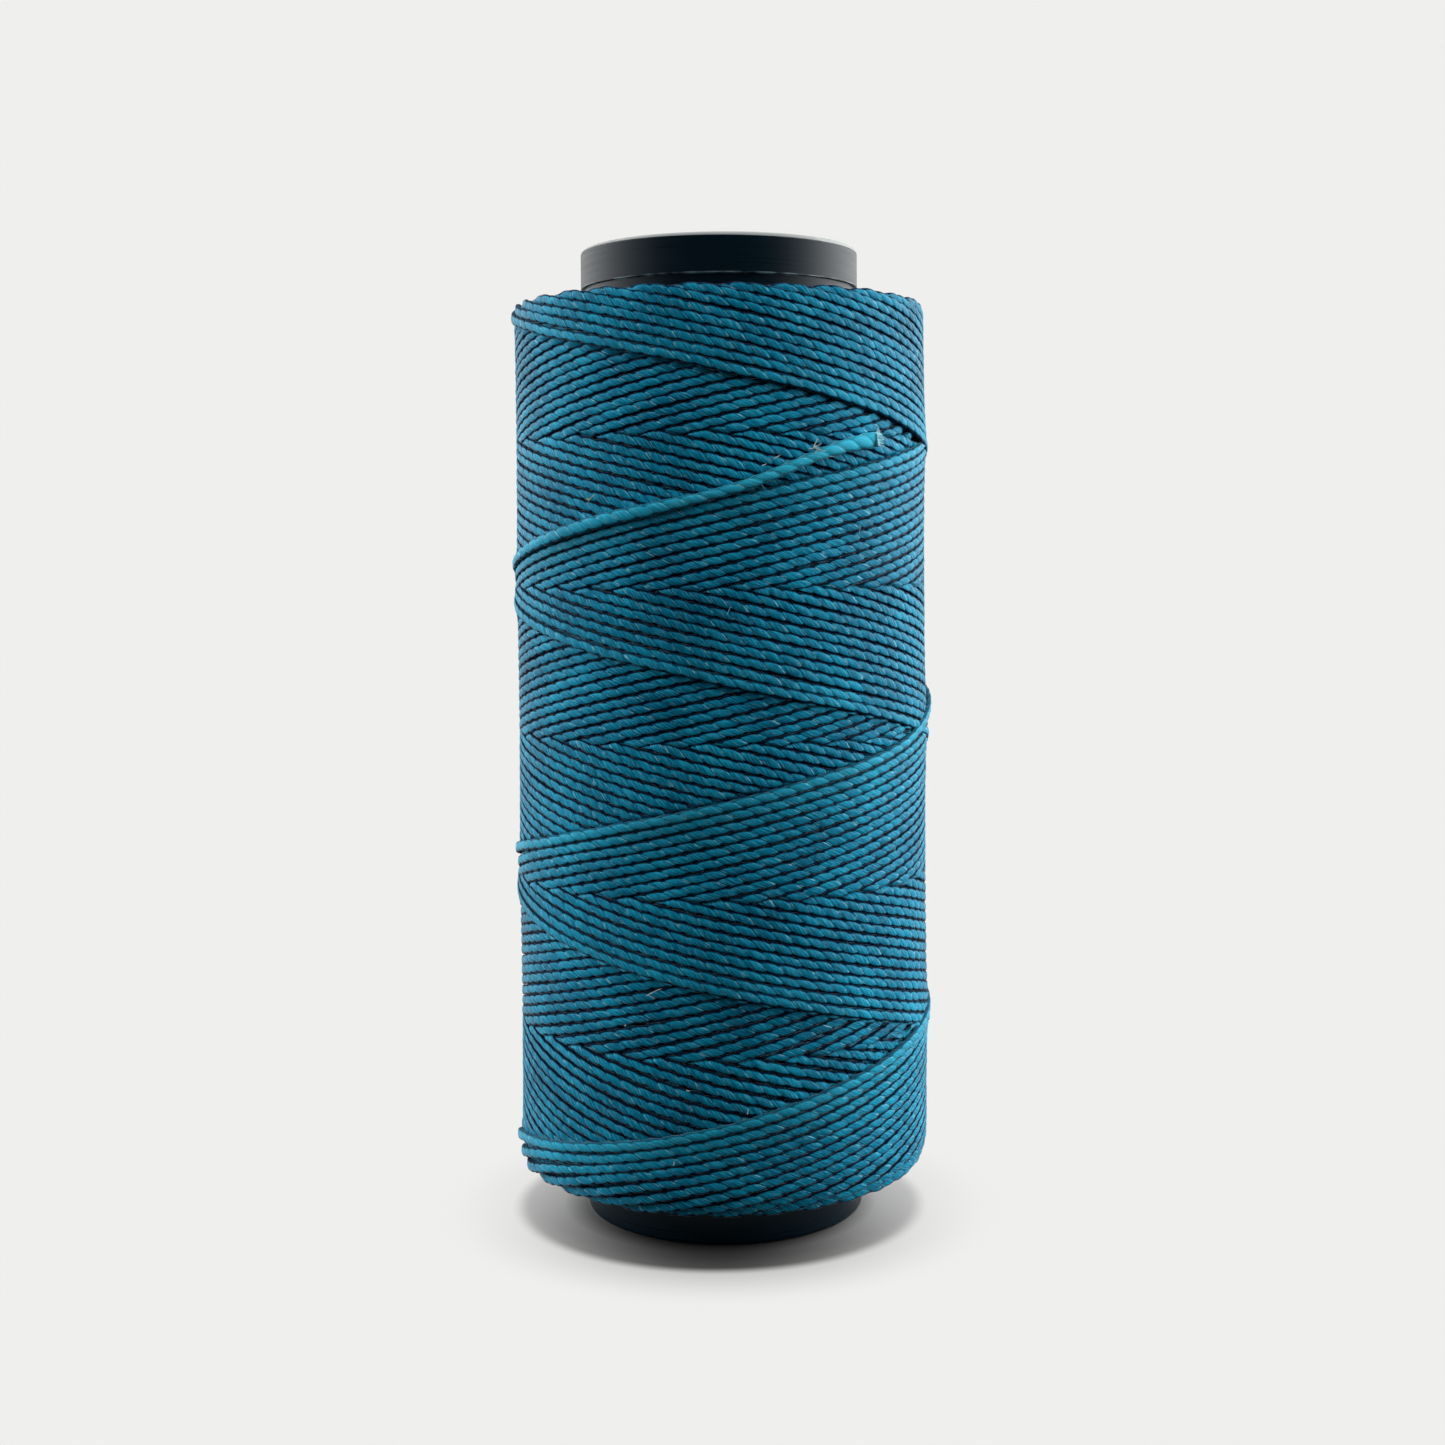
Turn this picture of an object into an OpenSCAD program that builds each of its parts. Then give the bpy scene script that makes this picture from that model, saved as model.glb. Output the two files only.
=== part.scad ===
// Waxed thread spool: a cop of waxed cord, cross-wound on a plain plastic tube.
// Millimetres, +Z up the spindle axis, origin at the middle of the tube's foot.

/* [Core tube] */
// Length of the core tube
tube_l = 120; // [100:1:150]
// Diameter of the spindle bore
bore_d = 30.6; // [26:0.2:32]
// Wall of the barrel between the collars
barrel_wall = 1.6; // [1.2:0.1:2.2]
// Step from the barrel out to the end collars
collar_step = 0.4; // [0.2:0.1:0.8]
// Height of each end collar
collar_h = 4.8; // [3:0.2:6]
// Radius of the rounded rims
rim_r = 0.6; // [0.3:0.1:0.8]

/* [Wound thread] */
// Diameter over the wound thread
winding_d = 51; // [46:0.5:66]
// Height of the winding's lower edge above the lower collar
bare_low = 0.4; // [0.2:0.1:4]
// Height of the winding's upper edge below the upper collar
bare_high = 2.2; // [0.2:0.1:6]
// Height of the rounded lower shoulder
low_shoulder_h = 5.5; // [3:0.5:10]
// How far the lower shoulder draws in
low_shoulder_in = 4; // [1:0.5:5]
// Height of the rounded upper shoulder
high_shoulder_h = 1.5; // [1:0.5:10]
// How far the upper shoulder draws in
high_shoulder_in = 1; // [0.5:0.5:5]

/* [Thread] */
// Diameter of the thread
thread_d = 1.05; // [0.8:0.05:1.2]
// Rise of the thread in one turn, fitted to a near number of turns
thread_lead = 36; // [30:1:40]
// Strokes up, and as many down, that are drawn in the outer layer
layer_strokes = 4; // [2:1:4]
// Gap left between two threads that cross
crossing_gap = 0.45; // [0.45:0.05:1]
// Clearance between the thread or the tube and the plain inner layers
winding_fit = 0.15; // [0.1:0.05:0.3]

/* [Hidden] */
$fn = 96;

tube_black = "#14171b";
thread_teal = "#1f7f9b";

bore_r = bore_d/2;
barrel_r = bore_r + barrel_wall;
collar_r = barrel_r + collar_step;

winding_r = winding_d/2;
winding_low = collar_h + bare_low;
winding_high = tube_l - collar_h - bare_high;
winding_mid = (winding_low + winding_high)/2;

// A loop of the layer has this many rings of this many sides
loop_rings = 24;
loop_sides = 6;
tail_sides = 8;
shoulder_steps = 8;

// The thread's centre line keeps within the winding's two edges
travel_low = winding_low + thread_d/2;
travel = winding_high - winding_low - thread_d;
// Turns in one stroke: short of a whole number, so that the strokes spread evenly round the layer
stroke_turns = max(1, round(travel/thread_lead)) - 1/(2*layer_strokes);
// Share of a stroke that each rounded reversal takes
reversal = 0.06;
// Angle either side of a reversal in which the thread changes from one level to the other
swap_angle = 0.75*180/layer_strokes;
swap = swap_angle/360/stroke_turns;

// Rising strokes lie over falling ones. A chord between two rings sags below the true curve
chord_sag = winding_r*(1 - cos(180/loop_rings));
level_step = thread_d + crossing_gap + chord_sag;
layer_depth = thread_d + level_step + chord_sag + winding_fit;

// The inner layers lie on the barrel. A shoulder draws in only as far as it leaves them a wall
inner_r = barrel_r + winding_fit;
least_wall = thread_d;
shoulder_room = winding_r - layer_depth - inner_r - least_wall;
low_in = min(low_shoulder_in, shoulder_room);
high_in = min(high_shoulder_in, shoulder_room);

// Loose end of the thread: angle, height above the middle of the winding, and height of its
// centre line over the winding's surface
tail_route = [
    [180, 21.2, -0.1], [186, 21.8, 0.0], [192, 22.4, 0.1], [198, 23.0, 0.2],
    [204, 23.6, 0.3], [210, 24.2, 0.4], [216, 24.8, 0.5], [222, 25.4, 0.6],
    [228, 26.0, 0.6], [234, 26.6, 0.6], [240, 27.2, 0.6], [246, 27.7, 0.6],
    [252, 28.2, 0.6], [258, 28.8, 0.6], [264, 29.4, 0.6], [270, 30.1, 0.6],
    [276, 30.9, 0.6], [282, 31.9, 0.6], [288, 33.0, 0.6], [294, 34.1, 0.6],
    [300, 35.0, 0.6], [306, 35.7, 0.6], [312, 36.2, 0.7], [318, 36.5, 0.8]
];

function unit(v) = v/norm(v);
function polar(angle, r, z) = [r*cos(angle), r*sin(angle), z];
tail_points = [for (p = tail_route) polar(p[0], winding_r + p[2], winding_mid + p[1])];
tail_start = unit(tail_points[1] - tail_points[0]);

// How far a rounded shoulder has drawn in, at a height above the winding's edge
function drawn_in(height, shoulder_h, shoulder_in) =
    height >= shoulder_h ? 0
    : shoulder_in*(1 - sqrt(1 - pow(1 - max(0, height)/shoulder_h, 2)));

// Radius of the winding's outer surface
function winding_radius(z) = winding_r
    - drawn_in(z - winding_low, low_shoulder_h, low_in)
    - drawn_in(winding_high - z, high_shoulder_h, high_in);

// Rise along the strokes, counted in strokes from the last lower reversal: 0 at a lower reversal,
// 1 at an upper one, with a parabola in place of each corner
function stroke_rise(u) =
    let (v = abs(u - 2*round(u/2)))
    (v < reversal ? v*v/(2*reversal)
        : v > 1 - reversal ? 1 - reversal - pow(1 - v, 2)/(2*reversal)
        : v - reversal/2)/(1 - reversal);

// 1 on a rising stroke, 0 on a falling one, with a smooth change at each reversal
function upper_level(u) =
    let (v = u - 2*floor(u/2),
         into = v < 0.5 ? v : v < 1.5 ? 1 - v : v - 2,
         t = min(1, max(0, (into + swap)/(2*swap))))
    t*t*(3 - 2*t);

// The loose end leaves the last rising stroke at this share of it
tail_rise = (winding_mid + tail_route[0][1] - travel_low)/travel;
tail_stroke = tail_rise*(1 - reversal) + reversal/2;
// The layer's first end comes up from the inner layers just before an upper reversal
first_stroke = 1 - 2*layer_strokes - swap;
layer_turns = (tail_stroke - first_stroke)*stroke_turns;

// Centre line of the outer layer, a number of turns before the loose end
function layer_angle(turns) = tail_route[0][0] - 360*turns;
function layer_height(turns) = travel_low + travel*stroke_rise(tail_stroke - turns/stroke_turns);
function layer_radius(turns) = winding_radius(layer_height(turns)) - thread_d/2
    - level_step*(1 - upper_level(tail_stroke - turns/stroke_turns));

// The first end stands square on the inner layers, then bends round into the layer
first_turns = floor(layer_turns*loop_rings)/loop_rings;
first_z = layer_height(first_turns);
first_r = layer_radius(first_turns);
first_foot = winding_radius(first_z) - layer_depth + winding_fit;
bend_r = first_r - first_foot - thread_d;
function bend_point(turn) = polar(layer_angle(first_turns) - bend_r*cos(turn)/first_r*180/PI,
    first_r - bend_r + bend_r*sin(turn), first_z);

layer_points = concat(
    [bend_point(0) - thread_d*unit([bend_point(0).x, bend_point(0).y, 0])],
    [for (turn = [0:30:60]) bend_point(turn)],
    [for (i = [first_turns*loop_rings:-1:1])
        polar(layer_angle(i/loop_rings), layer_radius(i/loop_rings), layer_height(i/loop_rings))],
    [tail_points[0] - thread_d*tail_start, tail_points[0]]);

// Least gap of a line of thread to itself, on points along its chords
chord_steps = 8;
function chord_gap(a, b, c, d) = min([for (i = [0:chord_steps], j = [0:chord_steps])
    norm(a + (b - a)*i/chord_steps - c - (d - c)*j/chord_steps)]);
function least_gap(points, d) =
    let (last = len(points) - 2, reach = 2*winding_r*sin(180/loop_rings) + 2*d)
    min([for (i = [0:last], j = [i + loop_rings/2:1:last])
        if (norm(points[i] - points[j]) < reach)
            chord_gap(points[i], points[i + 1], points[j], points[j + 1])]) - d;

// Direction of a line of points at one of them, halfway between its two chords
function heading(points, i) =
    let (last = len(points) - 1,
         before = i > 0 ? unit(points[i] - points[i - 1]) : [0, 0, 0],
         after = i < last ? unit(points[i + 1] - points[i]) : [0, 0, 0])
    unit(before + after);

// One unbroken tube along a line of points, with rings square to the line
module thread_along(points, d, sides) {
    rings = [for (i = [0:len(points) - 1])
        let (along = heading(points, i), out = unit(cross(along, [0, 0, 1])), up = cross(along, out))
        for (k = [0:sides - 1])
            let (a = 360*(k + 0.5)/sides)
            points[i] + d/2*(cos(a)*out + sin(a)*up)];
    last = (len(points) - 1)*sides;
    walls = [for (i = [0:len(points) - 2], k = [0:sides - 1])
        let (a = i*sides + k, b = i*sides + (k + 1)%sides)
        each [[a, a + sides, b + sides], [a, b + sides, b]]];
    ends = [for (k = [1:sides - 2]) each [[0, k, k + 1], [last, last + k + 1, last + k]]];
    polyhedron(rings, concat(walls, ends));
}

// Flat outline of a ring's wall, with its two outer rims rounded
module rounded_wall(r_in, r_out, low, high) {
    translate([r_in, low + rim_r]) square([r_out - r_in, high - low - 2*rim_r]);
    translate([r_in + rim_r, low]) square([r_out - r_in - 2*rim_r, high - low]);
    for (r = [r_in + rim_r, r_out - rim_r], z = [low + rim_r, high - rim_r])
        translate([r, z]) circle(rim_r);
}

module core_tube() {
    color(tube_black) rotate_extrude() {
        translate([bore_r, collar_h/2]) square([barrel_wall, tube_l - collar_h]);
        difference() {
            rounded_wall(bore_r, collar_r, 0, tube_l);
            translate([barrel_r, collar_h]) square([2*collar_step, tube_l - 2*collar_h]);
        }
    }
}

module inner_winding() {
    low_levels = [for (i = [0:shoulder_steps])
        winding_low + low_shoulder_h*(1 - cos(90*i/shoulder_steps))];
    high_levels = [for (i = [shoulder_steps:-1:0])
        winding_high - high_shoulder_h*(1 - cos(90*i/shoulder_steps))];
    color(thread_teal) rotate_extrude() polygon(concat(
        [[inner_r, winding_low]],
        [for (z = concat(low_levels, high_levels)) [winding_radius(z) - layer_depth, z]],
        [[inner_r, winding_high]]));
}

module outer_winding() {
    echo(str("least gap of the wound thread to itself: ", least_gap(layer_points, thread_d), " mm"));
    color(thread_teal) thread_along(layer_points, thread_d, loop_sides);
}

module thread_tail() {
    color(thread_teal) thread_along(tail_points, thread_d, tail_sides);
}

core_tube();
inner_winding();
outer_winding();
thread_tail();
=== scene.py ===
# %% [markdown]
# # A spool of waxed thread
# The object is a cop of waxed cord: one long two-ply thread, wound up and down in crossing strokes on a
# straight black plastic tube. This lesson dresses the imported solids, piece by piece. Lengths are in
# millimetres where a size is named, and `MM` turns them into Blender's metres.

import math

import bpy
import numpy as np
from mathutils import Matrix, Vector


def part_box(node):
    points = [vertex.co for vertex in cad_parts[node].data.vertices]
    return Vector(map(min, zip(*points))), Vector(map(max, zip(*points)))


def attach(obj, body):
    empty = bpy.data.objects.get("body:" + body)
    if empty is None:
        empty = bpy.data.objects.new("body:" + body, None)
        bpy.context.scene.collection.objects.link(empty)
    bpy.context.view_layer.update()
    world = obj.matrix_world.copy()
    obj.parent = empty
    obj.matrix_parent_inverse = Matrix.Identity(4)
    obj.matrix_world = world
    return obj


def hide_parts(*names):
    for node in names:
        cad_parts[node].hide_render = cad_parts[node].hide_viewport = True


MM = 0.001
BODY = "root"

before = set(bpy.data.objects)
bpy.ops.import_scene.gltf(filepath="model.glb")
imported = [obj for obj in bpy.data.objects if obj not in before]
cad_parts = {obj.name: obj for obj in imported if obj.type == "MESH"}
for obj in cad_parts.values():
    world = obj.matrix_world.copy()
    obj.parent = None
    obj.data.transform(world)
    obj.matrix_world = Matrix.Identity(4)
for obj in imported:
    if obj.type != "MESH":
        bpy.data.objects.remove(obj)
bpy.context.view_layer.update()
scene = bpy.context.scene
scene.view_settings.view_transform = "Standard"

# %% [markdown]
# ## Camera
# The photograph was taken from the front and a little above the middle. Its angle, distance and lens were
# worked out from the ellipses of the rims and of the winding's chevron lines, which are true circles on the
# real spool. The small roll and the downward shift are the photograph's own framing.

# %% Place the camera
PHOTO_PX = 1445
CAMERA_DISTANCE = 249.5
CAMERA_HEIGHT = 83.2
CAMERA_SIDE = 0.15
CAMERA_PITCH = 1.868
CAMERA_ROLL = 0.424
FOCAL_PX = 1976
SHIFT_PX = 112.5
SENSOR = 36.0
NEAREST = 10.0

camera_data = bpy.data.cameras.new("photo_camera")
camera_data.sensor_width = SENSOR
camera_data.lens = FOCAL_PX / PHOTO_PX * SENSOR
camera_data.shift_y = -SHIFT_PX / PHOTO_PX
camera_data.clip_start = NEAREST * MM
camera = bpy.data.objects.new("photo_camera", camera_data)
scene.collection.objects.link(camera)
pitch = Matrix.Rotation(math.radians(90 - CAMERA_PITCH), 4, "X")
roll = Matrix.Rotation(math.radians(-CAMERA_ROLL), 4, "Z")
eye = Matrix.Translation((CAMERA_SIDE * MM, -CAMERA_DISTANCE * MM, CAMERA_HEIGHT * MM))
camera.matrix_world = eye @ pitch @ roll
scene.camera = camera
print("camera lens", round(camera_data.lens, 2), "mm")

# %% [markdown]
# ## Sizes from the frame
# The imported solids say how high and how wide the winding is. The thread's own measures were read from the
# photograph: nine rows of thread cover eleven millimetres, and a rising thread climbs 35.7 mm in a turn.

# %% Read the sizes
THREAD_D = 1.05
LEAD = 35.7
PITCH = 1.246
FRONT = 270.0
# heights at which the newest rising and the newest falling thread pass the front
RISING_AT_FRONT = 53.4
FALLING_AT_FRONT = 68.0
# the solid's thread has six sides, so its box is a little narrower than a round thread's
CAD_SIDES = 6

bed_low, bed_high = (corner.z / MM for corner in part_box("inner_winding"))
layer_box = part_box("outer_winding")
flat_loss = THREAD_D / 2 * (1 - math.cos(math.pi / CAD_SIDES))
winding_r = (layer_box[1].x - layer_box[0].x) / 2 / MM + flat_loss
winding_mid = (bed_low + bed_high) / 2
tube_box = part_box("core_tube")
collar_r = tube_box[1].x / MM
tube_l = tube_box[1].z / MM
print("winding from", round(bed_low, 2), "to", round(bed_high, 2), "mm, radius", round(winding_r, 2))

# %% [markdown]
# ## Helpers
# Colours are written as the sRGB hex values that a picture shows, and Blender's sockets take linear light, so
# one function turns the one into the other. Another adds a node, sets it up and links it in one line, and a
# third starts a material.

# %% Define the helpers
# settings that several nodes share
RGBA = {"data_type": "RGBA"}
SMOOTH = {"interpolation_type": "SMOOTHSTEP"}


def colour(hex_code):
    """Linear RGBA of an sRGB hex value, by the curve of the sRGB standard."""
    srgb = [int(hex_code[i:i + 2], 16) / 255 for i in (1, 3, 5)]
    return [c / 12.92 if c <= 0.04045 else ((c + 0.055) / 1.055) ** 2.4 for c in srgb] + [1.0]


def add(tree, kind, settings=None, **inputs):
    """Adds a node. An input is a value, another node's output, or a node whose first output is meant.

    In an input's name an underscore stands for a space, and i0 means the socket at place 0.
    """
    node = tree.nodes.new(kind)
    for name, value in (settings or {}).items():
        setattr(node, name, value)
    for name, value in inputs.items():
        key = int(name[1:]) if name[0] == "i" and name[1:].isdigit() else name.replace("_", " ")
        socket = node.inputs[key]
        if isinstance(value, bpy.types.Node):
            value = value.outputs[0]
        if isinstance(value, bpy.types.NodeSocket):
            tree.links.new(value, socket)
        else:
            socket.default_value = value
    return node


def new_material(name):
    """An empty node material and its tree, with a Principled BSDF that feeds the output."""
    material = bpy.data.materials.new(name)
    material.use_nodes = True
    tree = material.node_tree
    tree.nodes.clear()
    shader = add(tree, "ShaderNodeBsdfPrincipled")
    add(tree, "ShaderNodeOutputMaterial", Surface=shader.outputs["BSDF"])
    return material, tree, shader


print("sRGB middle grey is", round(colour("#808080")[0], 3), "in linear light")

# %% [markdown]
# ## Waxed thread
# Bonded polyester, two plies twisted together and drawn through wax. The wax leaves a soft half gloss and
# gathers in pale scuffs, most of them along the seams between the plies, and the same spots carry painted
# glints of the lamp on the wax. The grooves of the seams and the thread's sides, in the gaps beside its
# neighbours, are darkened with painted shade. The filaments run along each ply, so a pattern on the object's
# own coordinates wouldn't follow them. The material reads three values of the swept skin instead.
# `straightened` is the point's place on the thread pulled out straight. `crest` is 1 on the thread's outer
# crest and less down its sides. The third is 1 on the newest thread, which nothing has worn or pressed yet
# and which is painted paler also for the light that its raised band catches, and still more towards the cut
# end, which is the palest.

# %% Make the thread's material
THREAD_DEEP = "#035872"
THREAD_TEAL = "#057FA4"
THREAD_PALE = "#1CAED2"
# the newest thread is paler: partly its own unworn tone, partly painted light on its raised band
THREAD_FRESH_LIT = "#34C0E0"
# painted shade in the grooves of the seams, and in the gaps beside the thread
GROOVE_SHADE_NAVY = "#023066"
GAP_SHADE_NAVY = "#001A34"
# pale scuffs of wax, which also stand for painted glints of the lamp
WAX_SCUFF_GLINT = "#94DCEC"
# across the round section, before it is drawn in at the seams and pressed
ENVELOPE_D = 1.3
# a filament is a fiftieth of a millimetre thick: drawn as strands that a picture can show
STRAND_MM, STRAND_RUN = 0.15, 1.7
SCUFF_GLINT_MM, SCUFF_GLINT_RUN = 0.14, 0.8
PATCH_MM, PATCH_WEIGHT = 7.0, 0.4
# values of the blended noises at which the thread is deep, plain and pale
TONES = ((0.53, THREAD_DEEP), (0.71, THREAD_TEAL), (0.89, THREAD_PALE))
# share of the paler newest tone, which is partly painted light
FRESH_LIT_SHARE = 0.35
# noise values and shares for the scuffs and their painted glints, and how much of them lies on the plies
SCUFF_GLINT_FROM, SCUFF_GLINT_FULL, SCUFF_GLINT_MOST, SCUFF_GLINT_ON_PLY = 0.58, 0.7, 0.9, 0.25
# distances from the seam, as shares of the section's radius
SEAM_EDGE, PLY_EDGE = 0.3, 0.6
GROOVE_SHADE_MOST, SEAM_NOTCH = 0.12, 0.14
# values of crest, raised by the notch on the plies, between which the painted shade of the gap fades out
GAP_FROM, GAP_TO, GAP_SHADE_MOST = 0.72, 0.93, 0.98
# at the palest newest thread only this share of the gap's painted shade is left
FRESHEST_LIT, FRESHEST_GAP_SHADE = 3.0, 0.3
# most of a noise lies between these two values
NOISE_LOW, NOISE_HIGH = 0.3, 0.7
WAX_GLOSSY, WAX_MATT = 0.34, 0.5
STRAND_BUMP, STRAND_DEPTH = 0.7, 0.09
PLY_BUMP, PLY_DEPTH = 0.35, 0.12
# that of wax is about 1.44: lowered until the shine matched the photograph
THREAD_IOR = 1.13
SHEEN, SHEEN_ROUGHNESS = 0.4, 0.2


def waxed_thread_material():
    """Teal waxed thread: strands along the plies, scuffs with painted glints, and painted shade in grooves
    and gaps.
    """
    material, tree, shader = new_material("waxed_thread_teal")
    place = add(tree, "ShaderNodeAttribute", {"attribute_name": "straightened"}).outputs["Vector"]
    fresh_and_lit = add(tree, "ShaderNodeAttribute", {"attribute_name": "fresh_and_lit"}).outputs["Fac"]
    crest = add(tree, "ShaderNodeAttribute", {"attribute_name": "crest"}).outputs["Fac"]
    object_place = add(tree, "ShaderNodeTexCoord").outputs["Object"]

    # strands and larger patches take the teal from deep to pale
    strand_map = add(tree, "ShaderNodeMapping", Vector=place,
                     Scale=(1 / (STRAND_RUN * MM), 1 / (STRAND_MM * MM), 1 / (STRAND_MM * MM)))
    strands = add(tree, "ShaderNodeTexNoise", Vector=strand_map, Scale=1.0, Detail=2.0, Roughness=0.6)
    strands = strands.outputs["Fac"]
    patches = add(tree, "ShaderNodeTexNoise", Vector=object_place, Scale=1 / (PATCH_MM * MM), Detail=2.0)
    blend = add(tree, "ShaderNodeMath", {"operation": "MULTIPLY_ADD"},
                i0=patches.outputs["Fac"], i1=PATCH_WEIGHT, i2=strands)
    ramp = add(tree, "ShaderNodeValToRGB", Fac=blend)
    stops = ramp.color_ramp.elements
    stops.new(TONES[1][0])
    for stop, (at, hex_code) in zip(stops, TONES):
        stop.position = at
        stop.color = colour(hex_code)
    # the paler newest thread, partly painted light
    fresh_lit_share = add(tree, "ShaderNodeMath", {"operation": "MULTIPLY"}, i0=fresh_and_lit, i1=FRESH_LIT_SHARE)

    # pale scuffs of wax, which also carry painted glints of the lamp, most of them near the seam
    scuff_glint_map = add(tree, "ShaderNodeMapping", Vector=place,
                    Scale=(1 / (SCUFF_GLINT_RUN * MM), 1 / (SCUFF_GLINT_MM * MM), 1 / (SCUFF_GLINT_MM * MM)))
    scuff_glint_noise = add(tree, "ShaderNodeTexNoise", Vector=scuff_glint_map, Scale=1.0, Detail=1.0)
    scuff_glint_spots = add(tree, "ShaderNodeMapRange", Value=scuff_glint_noise.outputs["Fac"], From_Min=SCUFF_GLINT_FROM,
                From_Max=SCUFF_GLINT_FULL, To_Max=SCUFF_GLINT_MOST)
    from_seam = add(tree, "ShaderNodeMath", {"operation": "ABSOLUTE"},
                    i0=add(tree, "ShaderNodeSeparateXYZ", i0=place).outputs["Y"])
    seam_edge, ply_edge = (share * ENVELOPE_D / 2 * MM for share in (SEAM_EDGE, PLY_EDGE))
    by_seam = add(tree, "ShaderNodeMapRange", Value=from_seam, From_Min=seam_edge, From_Max=ply_edge,
                  To_Min=1.0, To_Max=SCUFF_GLINT_ON_PLY)
    scuffs_and_glints = add(tree, "ShaderNodeMath", {"operation": "MULTIPLY"}, i0=scuff_glint_spots, i1=by_seam)

    # painted shade in the groove of the seam and in the gap beside the thread, which bites further in at a
    # seam
    groove = add(tree, "ShaderNodeMapRange", SMOOTH, Value=from_seam, From_Max=seam_edge,
                 To_Min=GROOVE_SHADE_MOST, To_Max=0.0)
    ply = add(tree, "ShaderNodeMapRange", SMOOTH, Value=from_seam, From_Max=ply_edge)
    notched = add(tree, "ShaderNodeMath", {"operation": "MULTIPLY_ADD"}, i0=ply, i1=SEAM_NOTCH, i2=crest)
    side = add(tree, "ShaderNodeMapRange", SMOOTH, Value=notched, From_Min=GAP_FROM, From_Max=GAP_TO,
               To_Min=GAP_SHADE_MOST, To_Max=0.0)
    # the newest thread keeps less of the painted shade in its gaps
    gap_shade_left = add(tree, "ShaderNodeMapRange", Value=fresh_and_lit, From_Max=FRESHEST_LIT, To_Min=1.0, To_Max=FRESHEST_GAP_SHADE)
    gap = add(tree, "ShaderNodeMath", {"operation": "MULTIPLY"}, i0=side, i1=gap_shade_left)

    # each tone lies over the one before it, by its own share: the paler newest tone and the scuffs are partly
    # painted light, and the last two are painted shade
    tone = ramp.outputs["Color"]
    for share, hex_code in ((fresh_lit_share, THREAD_FRESH_LIT), (scuffs_and_glints, WAX_SCUFF_GLINT), (groove, GROOVE_SHADE_NAVY),
                            (gap, GAP_SHADE_NAVY)):
        tone = add(tree, "ShaderNodeMix", RGBA, i0=share, i6=tone, i7=colour(hex_code)).outputs[2]
    tree.links.new(tone, shader.inputs["Base Color"])
    gloss = add(tree, "ShaderNodeMapRange", Value=strands, From_Min=NOISE_LOW, From_Max=NOISE_HIGH,
                To_Min=WAX_GLOSSY, To_Max=WAX_MATT)
    rough = add(tree, "ShaderNodeMath", {"operation": "MAXIMUM"}, i0=gloss, i1=gap)
    tree.links.new(rough.outputs[0], shader.inputs["Roughness"])
    fine = add(tree, "ShaderNodeBump", Height=strands, Strength=STRAND_BUMP, Distance=STRAND_DEPTH * MM)
    plied = add(tree, "ShaderNodeBump", Height=ply, Normal=fine, Strength=PLY_BUMP, Distance=PLY_DEPTH * MM)
    tree.links.new(plied.outputs[0], shader.inputs["Normal"])
    shader.inputs["IOR"].default_value = THREAD_IOR
    shader.inputs["Sheen Weight"].default_value = SHEEN
    shader.inputs["Sheen Roughness"].default_value = SHEEN_ROUGHNESS
    return material


thread_material = waxed_thread_material()
print("made", thread_material.name)

# %% [markdown]
# ## A thread along a line
# Every stretch of thread is the same two-ply section swept along its centre line, so one Geometry Nodes tree
# makes them all. It sweeps a circle, draws it in along the two seams between the plies, which wind round the
# thread once in each lay, and presses the soft skin flat towards the spindle axis, as the winder's tension
# does. A bevelled curve could be swept too, but it can't be pressed, and it carries no place for the
# filaments to follow.
#
# First the sweep. The line carries its length, its centre and how far the plies have turned, and the section
# carries its own shape, so that every point of the skin knows them.

# %% Sweep the section
SECTION_SIDES = 14
LAY = 4.3
# radians between the plies of one line and those of the next
GOLDEN_ANGLE = 2.4
CARRIED = {"across": "FLOAT_VECTOR", "middle": "FLOAT_VECTOR", "along": "FLOAT", "twist": "FLOAT"}


def swept_section(tree, given, here, half):
    """The section swept along the line, with all that is carried."""
    circle = add(tree, "GeometryNodeCurvePrimitiveCircle", {"mode": "RADIUS"},
                 Resolution=given["Sides"], Radius=half)
    section = add(tree, "GeometryNodeStoreNamedAttribute", {"data_type": "FLOAT_VECTOR", "domain": "POINT"},
                  Geometry=circle, Name="across", Value=here)
    length = add(tree, "GeometryNodeSplineParameter").outputs["Length"]
    own_phase = add(tree, "ShaderNodeMath", {"operation": "MULTIPLY_ADD"}, i1=GOLDEN_ANGLE, i2=given["Phase"],
                    i0=add(tree, "GeometryNodeCurveOfPoint").outputs["Curve Index"])
    rate = add(tree, "ShaderNodeMath", {"operation": "DIVIDE"}, i0=2 * math.pi, i1=given["Lay"])
    turned_by = add(tree, "ShaderNodeMath", {"operation": "MULTIPLY_ADD"}, i0=length, i1=rate, i2=own_phase)
    line = add(tree, "GeometryNodeSetCurveNormal", {"mode": "Z_UP"}, Curve=given["Geometry"])
    for name, value in (("along", length), ("twist", turned_by), ("middle", here)):
        line = add(tree, "GeometryNodeStoreNamedAttribute", {"data_type": CARRIED[name], "domain": "POINT"},
                   Geometry=line, Name=name, Value=value)
    return add(tree, "GeometryNodeCurveToMesh", Curve=line, Profile_Curve=section, Fill_Caps=True,
               Scale=add(tree, "GeometryNodeInputRadius"))


# %% [markdown]
# Then each point's place round the thread is counted from the seam plane of the plies. It gives how far the
# section is drawn in there, and the place on the straightened thread.

# %% Twist the plies
PLY_WAIST = 0.83


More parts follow.
